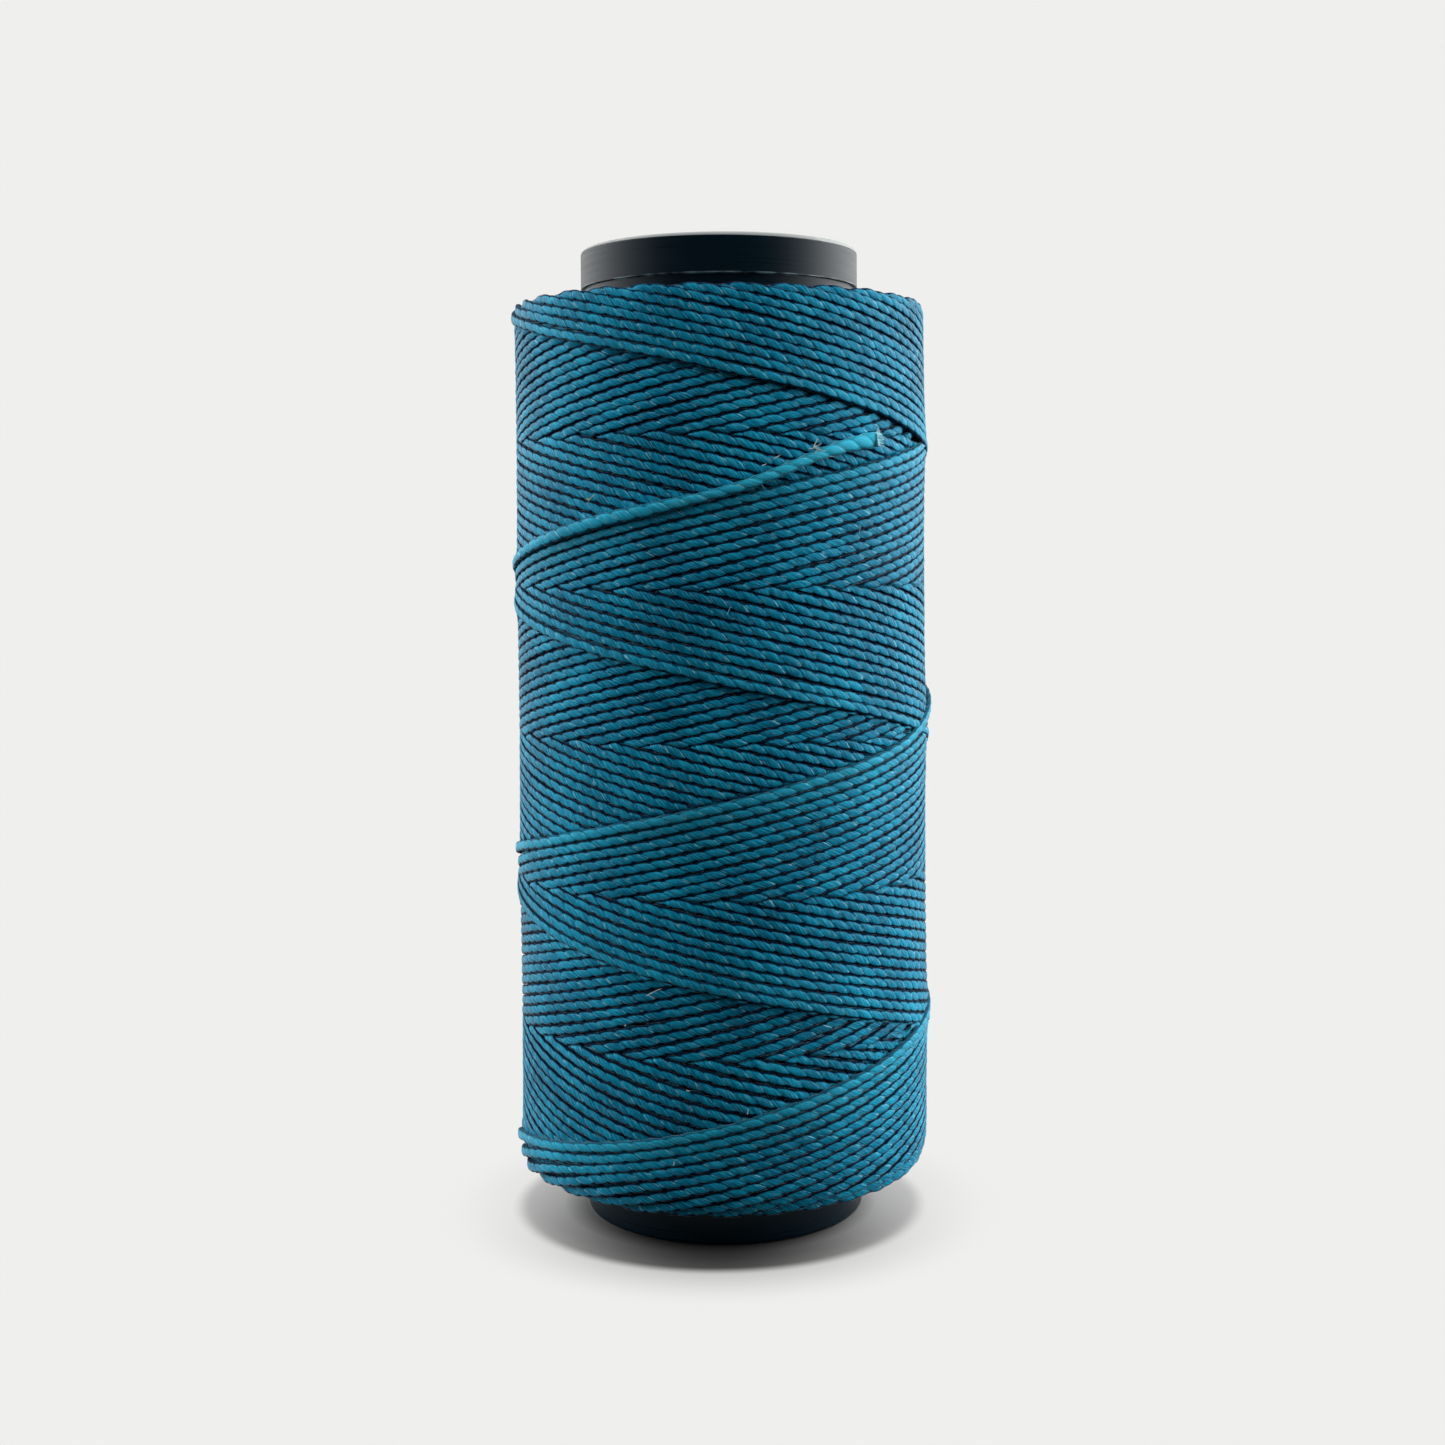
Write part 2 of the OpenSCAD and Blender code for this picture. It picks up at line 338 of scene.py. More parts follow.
def ply_place(tree, given, known, half):
    """How far a point is drawn in, and its place on the straightened thread."""
    flat = add(tree, "ShaderNodeSeparateXYZ", i0=known["across"]).outputs
    around = add(tree, "ShaderNodeMath", {"operation": "ARCTAN2"}, i0=flat["Y"], i1=flat["X"])
    from_ply = add(tree, "ShaderNodeMath", {"operation": "SUBTRACT"}, i0=around, i1=known["twist"])
    cosine = add(tree, "ShaderNodeMath", {"operation": "COSINE"}, i0=from_ply)
    sine = add(tree, "ShaderNodeMath", {"operation": "SINE"}, i0=from_ply)
    off_seam = add(tree, "ShaderNodeMath", {"operation": "ABSOLUTE"}, i0=cosine)
    waist = add(tree, "ShaderNodeMapRange", Value=off_seam, To_Min=given["Waist"], To_Max=1.0)
    unit_place = add(tree, "ShaderNodeCombineXYZ", Y=cosine, Z=sine)
    on_section = add(tree, "ShaderNodeVectorMath", {"operation": "SCALE"}, i0=unit_place, Scale=half)
    place = add(tree, "ShaderNodeVectorMath", {"operation": "ADD"}, i0=on_section,
                i1=add(tree, "ShaderNodeCombineXYZ", X=known["along"]))
    return waist, place


# %% [markdown]
# Pressing works on each point's offset from the centre line: the outward part of it is squared off and made
# smaller. A lean tilts the outward direction up or down, for threads that lie on an end face.

# %% Press the skin
PRESSED = 0.56
SQUARENESS = 0.55


def pressed_skin(tree, given, known, here, waist):
    """A point's place on the pressed skin, and how near it is to the crest."""
    level = add(tree, "ShaderNodeVectorMath", {"operation": "MULTIPLY"}, i0=known["middle"], i1=(1, 1, 0))
    radial = add(tree, "ShaderNodeVectorMath", {"operation": "NORMALIZE"}, i0=level)
    leaning = add(tree, "ShaderNodeVectorMath", {"operation": "ADD"}, i0=radial,
                  i1=add(tree, "ShaderNodeCombineXYZ", Z=given["Lean"]))
    outward = add(tree, "ShaderNodeVectorMath", {"operation": "NORMALIZE"}, i0=leaning)
    offset = add(tree, "ShaderNodeVectorMath", {"operation": "SUBTRACT"}, i0=here, i1=known["middle"])
    risen = add(tree, "ShaderNodeVectorMath", {"operation": "DOT_PRODUCT"}, i0=offset, i1=outward)
    rise = risen.outputs["Value"]
    spread = add(tree, "ShaderNodeVectorMath", {"operation": "LENGTH"}, i0=offset).outputs["Value"]
    crest = add(tree, "ShaderNodeMath", {"operation": "DIVIDE"}, i0=rise, i1=spread)
    steepness = add(tree, "ShaderNodeMath", {"operation": "ABSOLUTE"}, i0=crest)
    squared = add(tree, "ShaderNodeMath", {"operation": "POWER"}, i0=steepness, i1=given["Squareness"])
    lower = add(tree, "ShaderNodeMath", {"operation": "MULTIPLY"}, i0=squared, i1=given["Pressed"])
    height = add(tree, "ShaderNodeMath", {"operation": "MULTIPLY"}, i0=lower, i1=spread)
    sign = add(tree, "ShaderNodeMath", {"operation": "SIGN"}, i0=crest)
    loss = add(tree, "ShaderNodeMath", {"operation": "MULTIPLY"}, i0=rise, i1=-1.0)
    push = add(tree, "ShaderNodeMath", {"operation": "MULTIPLY_ADD"}, i0=height, i1=sign, i2=loss)
    squeeze = add(tree, "ShaderNodeVectorMath", {"operation": "SCALE"}, i0=outward, Scale=push)
    pressed = add(tree, "ShaderNodeVectorMath", {"operation": "ADD"}, i0=offset, i1=squeeze)
    plied = add(tree, "ShaderNodeVectorMath", {"operation": "SCALE"}, i0=pressed, Scale=waist)
    skin = add(tree, "ShaderNodeVectorMath", {"operation": "ADD"}, i0=known["middle"], i1=plied)
    return skin, crest


# %% [markdown]
# The tree joins the three steps, stores what the material reads, and ends in a real mesh with its material.

# %% Build the tree
INPUTS = {"Diameter": "Float", "Sides": "Int", "Lay": "Float", "Phase": "Float", "Waist": "Float",
          "Pressed": "Float", "Squareness": "Float", "Lean": "Float", "Thread Material": "Material"}


def thread_tree():
    """The tree that makes threads of lines."""
    tree = bpy.data.node_groups.new("pressed_thread", "GeometryNodeTree")
    tree.interface.new_socket("Geometry", in_out="INPUT", socket_type="NodeSocketGeometry")
    for name, kind in INPUTS.items():
        tree.interface.new_socket(name, in_out="INPUT", socket_type="NodeSocket" + kind)
    tree.interface.new_socket("Geometry", in_out="OUTPUT", socket_type="NodeSocketGeometry")
    given = add(tree, "NodeGroupInput").outputs
    here = add(tree, "GeometryNodeInputPosition")
    half = add(tree, "ShaderNodeMath", {"operation": "MULTIPLY"}, i0=given["Diameter"], i1=0.5)
    known = {name: add(tree, "GeometryNodeInputNamedAttribute", {"data_type": kind}, Name=name)
             for name, kind in CARRIED.items()}
    swept = swept_section(tree, given, here, half)
    waist, place = ply_place(tree, given, known, half)
    skin, crest = pressed_skin(tree, given, known, here, waist)
    for name, kind, value in (("crest", "FLOAT", crest), ("straightened", "FLOAT_VECTOR", place)):
        swept = add(tree, "GeometryNodeStoreNamedAttribute", {"data_type": kind, "domain": "POINT"},
                    Geometry=swept, Name=name, Value=value)
    moved = add(tree, "GeometryNodeSetPosition", Geometry=swept, Position=skin)
    smooth = add(tree, "GeometryNodeSetShadeSmooth", Geometry=moved)
    real = add(tree, "GeometryNodeRealizeInstances", Geometry=smooth)
    painted = add(tree, "GeometryNodeSetMaterial", Geometry=real, Material=given["Thread Material"])
    add(tree, "NodeGroupOutput", i0=painted)
    return tree


pressed_thread = thread_tree()
tree_sockets = pressed_thread.interface.items_tree
socket_ids = {item.name: item.identifier for item in tree_sockets if item.in_out == "INPUT"}
print("tree inputs", list(socket_ids))

# %% [markdown]
# The sweep's skin is ring after ring of points, so a point's number says where on the thread it is. From that
# comes a flat map that lays the skin in long strips side by side. A bake then spends its pixels evenly along
# the thread, which an automatic unwrap can't do with a line this long.

# %% Map the skin flat
# free share of a strip's width on either side, and radius of an end cap as a share of it
STRIP_SIDE, CAP_R = 0.05, 0.3
# spare length at each end of a line, and how far past the end its cap lies, as shares of the girth
STRIP_SPARE, CAP_OFF = 1.5, 0.75
MAP_BORDER = 2.5


def lengths_along(points):
    """Length of a line from its start to each of its points."""
    steps = np.linalg.norm(np.diff(points, axis=0), axis=1)
    return np.concatenate([[0.0], np.cumsum(steps)])


def map_strips(mesh, lines, sides):
    """A flat map of the swept skins, cut into strips of equal length that stand side by side."""
    girth = math.pi * THREAD_D
    spare = STRIP_SPARE * girth
    ring_at, first_rings, total, rings = [], set(), 0.0, 0
    for line in lines:
        own = lengths_along(line["points"])
        ring_at.append(total + spare + own)
        first_rings.add(rings)
        total += own[-1] + 2 * spare
        rings += len(own)
    ring_at = np.concatenate(ring_at)
    columns = max(1, round(math.sqrt(total / girth)))
    column = total / columns
    vertex = np.empty(len(mesh.loops), int)
    mesh.loops.foreach_get("vertex_index", vertex)
    start, count = np.empty(len(mesh.polygons), int), np.empty(len(mesh.polygons), int)
    mesh.polygons.foreach_get("loop_start", start)
    mesh.polygons.foreach_get("loop_total", count)
    ring, side = vertex // sides, (vertex % sides).astype(float)
    face_ring = np.repeat(np.minimum.reduceat(ring, start), count)
    widest = np.repeat(np.maximum.reduceat(side, start), count)
    wall = np.repeat(count == 4, count)
    side = np.where(wall & (widest == sides - 1) & (side == 0), sides, side)
    opens = np.isin(face_ring, list(first_rings))
    cap_at = ring_at[face_ring] + np.where(opens, -CAP_OFF, CAP_OFF) * girth
    cap_turn = 2 * math.pi * side / sides
    strip = np.floor(np.where(wall, ring_at[face_ring], cap_at) / column)
    wall_across = STRIP_SIDE + (1 - 2 * STRIP_SIDE) * side / sides
    across = np.where(wall, wall_across, 0.5 + CAP_R * np.cos(cap_turn))
    at = np.where(wall, ring_at[ring], cap_at + CAP_R * girth * np.sin(cap_turn)) - strip * column
    flat = mesh.uv_layers.new(name="OFBake")
    flat.data.foreach_set("uv", np.column_stack(
        [(strip + across) / columns, (at + MAP_BORDER) / (column + 2 * MAP_BORDER)]).ravel())


# %% [markdown]
# One function sweeps any set of lines, and turns what the tree makes into a plain mesh. It also writes at
# each point how pale the newest thread is painted, partly for the light that its raised band catches, again
# by the point's number.

# %% Sweep a thread
def swept_thread(name, lines, material=thread_material, diameter=ENVELOPE_D, sides=SECTION_SIDES,
                 waist=PLY_WAIST, pressed=PRESSED, squareness=SQUARENESS, phase=0.0, lean=0.0, settle=None):
    """A mesh of thread along lines, each a dict of points in mm, width shares and paleness, partly painted
    light.
    """
    data = bpy.data.curves.new(name, "CURVE")
    data.dimensions = "3D"
    for line in lines:
        spline = data.splines.new("POLY")
        count = len(line["points"])
        spline.points.add(count - 1)
        spline.points.foreach_set("co", np.column_stack([line["points"] * MM, np.ones(count)]).ravel())
        spline.points.foreach_set("radius", line["width"])
    source = bpy.data.objects.new(name + "_line", data)
    scene.collection.objects.link(source)
    modifier = source.modifiers.new("thread", "NODES")
    modifier.node_group = pressed_thread
    values = {"Diameter": diameter * MM, "Sides": sides, "Lay": LAY * MM, "Phase": phase, "Waist": waist,
              "Pressed": pressed, "Squareness": squareness, "Lean": lean, "Thread Material": material}
    for socket, value in values.items():
        modifier[socket_ids[socket]] = value
    graph = bpy.context.evaluated_depsgraph_get()
    mesh = bpy.data.meshes.new_from_object(source.evaluated_get(graph), depsgraph=graph)
    bpy.data.objects.remove(source)
    for spare in CARRIED:
        if spare in mesh.attributes:
            mesh.attributes.remove(mesh.attributes[spare])
    if settle:
        skin = np.empty(3 * len(mesh.vertices))
        mesh.vertices.foreach_get("co", skin)
        mesh.vertices.foreach_set("co", (settle(skin.reshape(-1, 3) / MM) * MM).ravel())
    fresh_and_lit = np.concatenate([np.repeat(line["fresh_and_lit"], sides) for line in lines])
    mesh.attributes.new("fresh_and_lit", "FLOAT", "POINT").data.foreach_set("value", fresh_and_lit)
    map_strips(mesh, lines, sides)
    mesh.name = name
    piece = bpy.data.objects.new(name, mesh)
    scene.collection.objects.link(piece)
    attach(piece, BODY)
    return piece


def triangle_count(piece):
    piece.data.calc_loop_triangles()
    return len(piece.data.loop_triangles)


# %% [markdown]
# ## The loose end
# The thread's cut end lies over the winding at the front. It is a free cord, so its line repeats the solid's
# own route: angle, height above the middle of the winding, and height of the centre line over the surface.
# It is swept like the rest, but less pressed, because nothing holds it down.

# %% Lay the loose end
TAIL_STEP = 0.3
TAIL_CUT = 1.6
TAIL_WAIST = 0.86
TAIL_PRESSED = 0.7
# pressed thread is flatter than the solid's, so it lies lower wherever the route stands off the surface
TAIL_SINK, TAIL_STAND = 0.35, 0.6
# paleness of the newest thread, partly painted light, and width share at lengths along the loose end
TAIL_FRESH_LIT = ((0, 0.9), (20, 1.0), (35, 1.3), (50, 2.0), (58, 2.6), (63, 3.4))
TAIL_WIDTHS = ((0, 1.0), (12, 1.1), (24, 1.4), (32, 1.35), (40, 1.0), (54, 1.0), (61, 1.45), (63, 1.55))
TAIL_ROUTE = [
    (180, 21.2, -0.1), (186, 21.8, 0.0), (192, 22.4, 0.1), (198, 23.0, 0.2),
    (204, 23.6, 0.3), (210, 24.2, 0.4), (216, 24.8, 0.5), (222, 25.4, 0.6),
    (228, 26.0, 0.6), (234, 26.6, 0.6), (240, 27.2, 0.6), (246, 27.7, 0.6),
    (252, 28.2, 0.6), (258, 28.8, 0.6), (264, 29.4, 0.6), (270, 30.1, 0.6),
    (276, 30.9, 0.6), (282, 31.9, 0.6), (288, 33.0, 0.6), (294, 34.1, 0.6),
    (300, 35.0, 0.6), (306, 35.7, 0.6), (312, 36.2, 0.7), (318, 36.5, 0.8),
]


def smooth_line(points, step):
    """A line through the points with no corners, and a point every step."""
    at = lengths_along(points)
    fine = np.linspace(0, at[-1], max(2, int(at[-1] / step)))
    slopes = np.gradient(points, at, axis=0)
    i = np.clip(np.searchsorted(at, fine, side="right") - 1, 0, len(at) - 2)
    gap = (at[i + 1] - at[i])[:, None]
    t = (fine - at[i])[:, None] / gap
    return (points[i] * (2 * t**3 - 3 * t**2 + 1) + slopes[i] * gap * (t**3 - 2 * t**2 + t)
            + points[i + 1] * (3 * t**2 - 2 * t**3) + slopes[i + 1] * gap * (t**3 - t**2))


def polar(angle, r, z):
    """Points at angles in degrees round the spindle axis."""
    turn = np.radians(angle)
    return np.column_stack([r * np.cos(turn), r * np.sin(turn), z])


route = np.array(TAIL_ROUTE, float)
tail_r = winding_r + route[:, 2] - TAIL_SINK * np.clip(route[:, 2] / TAIL_STAND, 0, 1)
tail_points = smooth_line(polar(route[:, 0], tail_r, winding_mid + route[:, 1]), TAIL_STEP)
tail_at = lengths_along(tail_points)
tail_length = tail_at[-1] - TAIL_CUT
tail_points, tail_at = tail_points[tail_at <= tail_length], tail_at[tail_at <= tail_length]
tail = swept_thread("thread_tail_end", [{
    "points": tail_points, "width": np.interp(tail_at, *np.transpose(TAIL_WIDTHS)),
    "fresh_and_lit": np.interp(tail_at, *np.transpose(TAIL_FRESH_LIT))}], waist=TAIL_WAIST, pressed=TAIL_PRESSED)
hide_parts("thread_tail")
print("loose end", round(tail_length, 1), "mm long,", triangle_count(tail), "triangles")

# %% [markdown]
# The cut end is frayed: its filaments stick out a little past the cut and have lost their wax, so they are
# pale. They could be hair particles, but thin round threads from the same tree stay plain meshes.

# %% Fray the cut end
FIBRE_SEED = 7
FIBRE = {"sides": 5, "waist": 1.0, "pressed": 1.0, "squareness": 1.0}
FIBRE_GRAIN_MM, FIBRE_DULL, FIBRE_ROUGHNESS = 0.3, 0.6, 0.6
FIBRE_POINTS, FIBRE_CURL, FIBRE_TAPER = 6, 0.5, 0.5
FRAY_PALE = "#8FDCEA"
FRAY_FIBRES = 90
FRAY_D = 0.18
# length inside the thread, and lengths past the cut
FRAY_ROOT, FRAY_RUN = 0.6, (0.0, 0.5)
# where a fibre starts across the thread, as shares of its half width and half height
FRAY_SIDE, FRAY_OUT = (-0.65, 0.65), (0.5, 1.15)
FRAY_SPLAY, FRAY_STRAY, FRAY_LIFT, FRAY_BEND = 0.15, 0.2, 0.05, 0.25


def plain_fibre(name, hex_code):
    """Loose fibre without wax: matt, and a little uneven in tone."""
    material, tree, shader = new_material(name)
    grain = add(tree, "ShaderNodeTexNoise", Vector=add(tree, "ShaderNodeTexCoord").outputs["Object"],
                Scale=1 / (FIBRE_GRAIN_MM * MM), Detail=1.0)
    dull = [FIBRE_DULL * c for c in colour(hex_code)[:3]] + [1.0]
    tone = add(tree, "ShaderNodeMix", RGBA, i0=grain.outputs["Fac"], i6=dull, i7=colour(hex_code))
    tree.links.new(tone.outputs[2], shader.inputs["Base Color"])
    shader.inputs["Roughness"].default_value = FIBRE_ROUGHNESS
    return material


def curled(start, way, length, rng, bend):
    """A short fibre from a point, which bends a little on its way."""
    along = np.linspace(0, 1, FIBRE_POINTS)[:, None]
    points = start + length * (along * way + bend * along**2 * rng.normal(0, FIBRE_CURL, 3))
    return {"points": points, "width": 1 - FIBRE_TAPER * along[:, 0], "fresh_and_lit": np.zeros(FIBRE_POINTS)}


fibre_rng = np.random.default_rng(FIBRE_SEED)
end_way = tail_points[-1] - tail_points[-2]
end_way /= np.linalg.norm(end_way)
end_out = np.append(tail_points[-1][:2], 0) / np.linalg.norm(tail_points[-1][:2])
end_side = np.cross(end_way, end_out)
end_half = ENVELOPE_D / 2 * np.interp(tail_length, *np.transpose(TAIL_WIDTHS))
fray_lines = []
for _ in range(FRAY_FIBRES):
    side, out = fibre_rng.uniform(*FRAY_SIDE), fibre_rng.uniform(*FRAY_OUT)
    across = end_half * (side * end_side + TAIL_PRESSED * out * end_out)
    start = tail_points[-1] + across - FRAY_ROOT * end_way
    splay = FRAY_SPLAY * side + fibre_rng.normal(0, FRAY_STRAY)
    way = end_way + splay * end_side + FRAY_LIFT * out * end_out
    length = FRAY_ROOT + fibre_rng.uniform(*FRAY_RUN)
    fray_lines.append(curled(start, way, length, fibre_rng, FRAY_BEND))
fray = swept_thread("tail_fray", fray_lines, plain_fibre("frayed_polyester", FRAY_PALE),
                    diameter=FRAY_D, **FIBRE)
print("fray", triangle_count(fray), "triangles")

# %% [markdown]
# A few hairs and specks of lint cling to the wax, where the photograph shows them. They are fibres too.

# %% Add the lint
LINT_D = 0.13
LINT_BEND = 0.35
# height of a speck over the winding, share of its stand-off that counts, and how much it points outwards
LINT_OFF, LINT_STAND, LINT_LIFT = 0.15, 0.8, 0.2
# angle, height, length, slope in degrees and how far it stands off the thread
LINT = {
    "beige": ((216.9, 80.7, 0.8, 20, 0.0), (251.4, 32.1, 1.6, 38, 0.1), (284.4, 93.2, 0.8, 30, 0.1),
              (293.6, 94.2, 0.9, 10, 0.7), (294.4, 94.8, 0.8, 60, 0.7), (295.2, 94.5, 1.3, 15, 0.8),
              (295.8, 93.9, 1.6, -25, 0.7), (296.6, 93.4, 1.2, -30, 0.4), (298.0, 93.2, 1.2, -10, 0.3),
              (294.8, 93.9, 0.8, 40, 0.8), (302.0, 94.1, 0.7, 5, 0.4), (289.0, 92.1, 0.9, 35, 0.4)),
    "straw": ((234.8, 88.8, 1.2, 45, 0.2), (233.9, 88.6, 0.7, -10, 0.1)),
    "white": ((275.8, 18.5, 0.5, 80, 0.1), (256.9, 12.5, 0.5, 75, 0.1), (260.7, 21.0, 0.4, 20, 0.1),
              (244.0, 28.0, 0.4, 30, 0.1), (281.2, 92.3, 0.5, 20, 0.1)),
    "blue": ((308.2, 85.0, 2.6, 84, 0.3), (280.5, 89.9, 1.2, -60, 0.3), (239.2, 110.7, 0.9, 60, 0.3),
             (272.0, 76.0, 1.4, 70, 0.2), (322.0, 47.0, 1.5, 65, 0.2), (228.0, 51.0, 1.3, 110, 0.2)),
}
LINT_COLOURS = {"beige": "#D8DDD0", "straw": "#CDD08C", "white": "#DCEEF0", "blue": "#5FC2DA"}

for kind, specks in LINT.items():
    lines = []
    for angle, height, length, slope, stand in specks:
        turn, tilt = math.radians(angle), math.radians(slope)
        out = np.array([math.cos(turn), math.sin(turn), 0])
        round_way = np.array([-math.sin(turn), math.cos(turn), 0])
        way = math.cos(tilt) * round_way + [0, 0, math.sin(tilt)] + LINT_LIFT * out
        start = (winding_r + LINT_OFF + LINT_STAND * stand) * out + [0, 0, height] - length / 2 * way
        lines.append(curled(start, way, length, fibre_rng, LINT_BEND))
    lint = swept_thread("lint_" + kind, lines, plain_fibre("lint_" + kind, LINT_COLOURS[kind]),
                        diameter=LINT_D, **FIBRE)
    print(lint.name, triangle_count(lint), "triangles")

# %% [markdown]
# ## The law of the winding
# A winder turns the tube steadily while a guide carries the thread up and down, so the height is a zigzag
# over the angle. Each double stroke falls a little short of six turns, which sets the next thread one pitch
# beside the last. Counting strokes back from the loose end gives every thread an age, and where a rising and
# a falling thread cross, the younger one lies on top. That rule alone makes the chevrons and bands.

# %% Work out the zigzag
WHOLE_TURNS = 3
STROKE_TURNS = WHOLE_TURNS - PITCH / LEAD / 2
DOUBLE_STROKES = 28

stroke_angle = 360 * STROKE_TURNS
# half the turn in which a thread climbs one pitch
half_turn_per_pitch = 180 * PITCH / LEAD
low_apex = (RISING_AT_FRONT + FALLING_AT_FRONT) / 2 - WHOLE_TURNS * LEAD / 2
high_apex = low_apex + LEAD * STROKE_TURNS
low_apex_angle = FRONT - (RISING_AT_FRONT - low_apex) / LEAD * 360
# the layer ends three quarters of a turn past the front, where the loose end starts
end_angle = route[0, 0] + 360
tail_height = RISING_AT_FRONT + LEAD * (end_angle - FRONT) / 360


def ease(t):
    """0 to 1 as t goes from 0 to 1, with a soft start and end."""
    t = np.clip(t, 0, 1)
    return t * t * (3 - 2 * t)


def stroke_of(angle):
    """Number of the stroke, height of its sharp zigzag, and whether it rises, at an unwound angle."""
    q = (angle - low_apex_angle) / stroke_angle
    number = np.floor(q).astype(int)
    share = q - number
    rises = number % 2 == 0
    return number, low_apex + LEAD * STROKE_TURNS * np.where(rises, share, 1 - share), rises


print("a stroke is", round(STROKE_TURNS, 3), "turns, from", round(low_apex, 2), "to", round(high_apex, 2))

# %% [markdown]
# Near a crossing the older thread goes under and comes up again past it. Each thread meets the others in the
# order of their ages, so a thread's level follows from how far it is above or below the newest one that
# crosses it. Past the loose end the newest rising thread is missing, so there the ages count from the next.

# %% Find which thread lies on top
# shares of a pitch in which a thread changes its level, and before a crossing at which it has gone under
SWAP = 0.3
DIVE_EDGE = 0.35
# degrees before a reversal in which the youngest thread stays on top
YOUNGEST_TURN = 90


def level_of(angle, aside=0.0, above=0.0):
    """1 where the thread is on top, 0 where it is under the crossing ones; age on top; height of the zigzag.

    The angle is that of the thread's centre line. A point of its skin lies aside and above it.
    """
    number, height, rises = stroke_of(angle)
    age = -(number // 2)
    age = np.where(rises, age, age - 1)
    swing = LEAD * (angle + aside - FRONT) / 360
    below_rising = np.mod(RISING_AT_FRONT + swing - height - above, LEAD)
    above_falling = np.mod(height + above - FALLING_AT_FRONT + swing, LEAD)
    crossing = np.where(rises, above_falling, below_rising)
    newest_at = np.where(crossing > LEAD / 2, height + crossing - LEAD, height + crossing)
    beyond = ~rises & (newest_at > tail_height)
    crossing = np.where(beyond, np.mod(crossing - PITCH, LEAD), crossing)
    rank = np.where(beyond, age - 1, age)
    swap = np.where(rises, rank - 0.5, rank + 0.5) * PITCH
    up = ease((crossing - swap) / (SWAP * PITCH) + 0.5)
    dive = ease(((LEAD - crossing) / PITCH - DIVE_EDGE) / SWAP)
    level = np.where((rises & (age <= 0)) | (beyond & (rank < 0)), 1.0, up * dive)
    # near a reversal the thread comes up from under the younger reversals at the turn itself
    from_end = np.mod((angle - low_apex_angle) / stroke_angle, 1) * stroke_angle + aside
    to_end = stroke_angle - from_end
    younger = np.where(rises, age - 1, age)
    zone = np.maximum(younger, 0) * half_turn_per_pitch
    before = ease(0.5 - to_end / (2 * half_turn_per_pitch))
    entering = ease((to_end - zone) / half_turn_per_pitch)
    level = np.where(to_end < zone + half_turn_per_pitch, np.maximum(before, entering), level)
    level = np.where((younger <= 0) & (to_end < YOUNGEST_TURN), 1.0, level)
    after = ease(0.5 + from_end / (2 * half_turn_per_pitch))
    after = np.maximum(after, np.where(age <= 0, 1.0, 0.0))
    level = np.where(from_end < 2 * half_turn_per_pitch, after, level)
    own = np.abs(age) * PITCH
    top_age = level * own + (1 - level) * np.minimum(crossing, LEAD - crossing)
    return level, top_age, height


# %% [markdown]
# The zigzag's corners are rounded, and the surface bends in at the foot and a little at the top. The
# photograph shows that the lowest rows lie a millimetre or two lower than the even zigzag, most at the front,
# as the shoulder lets them slip.

# %% Shape the surface and its ends
LOW_SHOULDER_H = 5.5
LOW_SHOULDER_IN = 4.0
LOW_SHOULDER_FULL = 0.85
HIGH_SHOULDER_H = 1.5
HIGH_SHOULDER_IN = 1.0
# mean slip of the lowest rows, its swing round the spool, and the angle at which it is most
FOOT_SLIP, FOOT_SLIP_SWING, FOOT_SLIP_AT = -0.05, 1.55, 268.0
# height above the lowest corner up to which all of the slip counts, and height in which it fades
FOOT_SLIP_FROM, SLIP_RUN = 8.0, 16.0
# how far the last rows reach past the zigzag, the height in which they do, and the corner's rounding
FOOT_REACH, FOOT_REACH_RUN, FOOT_ROUND = 1.3, 4.0, 0.8
TOP_SLIP, TOP_REACH, TOP_REACH_RUN, TOP_ROUND = 0.15, 0.75, 2.0, 0.95


def shoulder_profile(count=400):
    """Arc length, radius, height and outward normal of the winding's surface, from its foot to its top."""
    quarter = np.linspace(0, math.pi / 2, count)
    low_r = winding_r - LOW_SHOULDER_IN * (1 - np.sin(quarter) ** LOW_SHOULDER_FULL)
    low_z = bed_low + LOW_SHOULDER_H * (1 - np.cos(quarter) ** LOW_SHOULDER_FULL)
    high_r = winding_r - HIGH_SHOULDER_IN * (1 - np.cos(quarter))
    high_z = bed_high - HIGH_SHOULDER_H * (1 - np.sin(quarter))
    r, z = np.concatenate([low_r, high_r]), np.concatenate([low_z, high_z])
    s = lengths_along(np.column_stack([r, z]))
    s += bed_low + LOW_SHOULDER_H - s[count - 1]
    dr, dz = np.gradient(r, s), np.gradient(z, s)
    size = np.hypot(dr, dz)
    return s, r, z, dz / size, -dr / size


profile_s, profile_r, profile_z, profile_nr, profile_nz = shoulder_profile()


def along_outline(height, angle):
    """Place along the surface's outline of a thread at a height of the sharp zigzag."""
    from_low, from_high = height - low_apex, high_apex - height
    slip = FOOT_SLIP + FOOT_SLIP_SWING * np.cos(np.radians(angle - FOOT_SLIP_AT))
    foot = (np.hypot(from_low, FOOT_ROUND) - from_low
            - slip * (1 - ease((from_low - FOOT_SLIP_FROM) / SLIP_RUN))
            - FOOT_REACH * (1 - ease(from_low / FOOT_REACH_RUN)))
    top = (from_high - np.hypot(from_high, TOP_ROUND) - TOP_SLIP * (1 - ease(from_high / SLIP_RUN))
           + TOP_REACH * (1 - ease(from_high / TOP_REACH_RUN)))
    return height + foot + top


def outward_at(s, angle):
    """Directions square to the winding's surface, at a place along its outline and an angle."""
    s = np.clip(s, profile_s[0], profile_s[-1])
    return polar(angle, np.interp(s, profile_s, profile_nr), np.interp(s, profile_s, profile_nz))


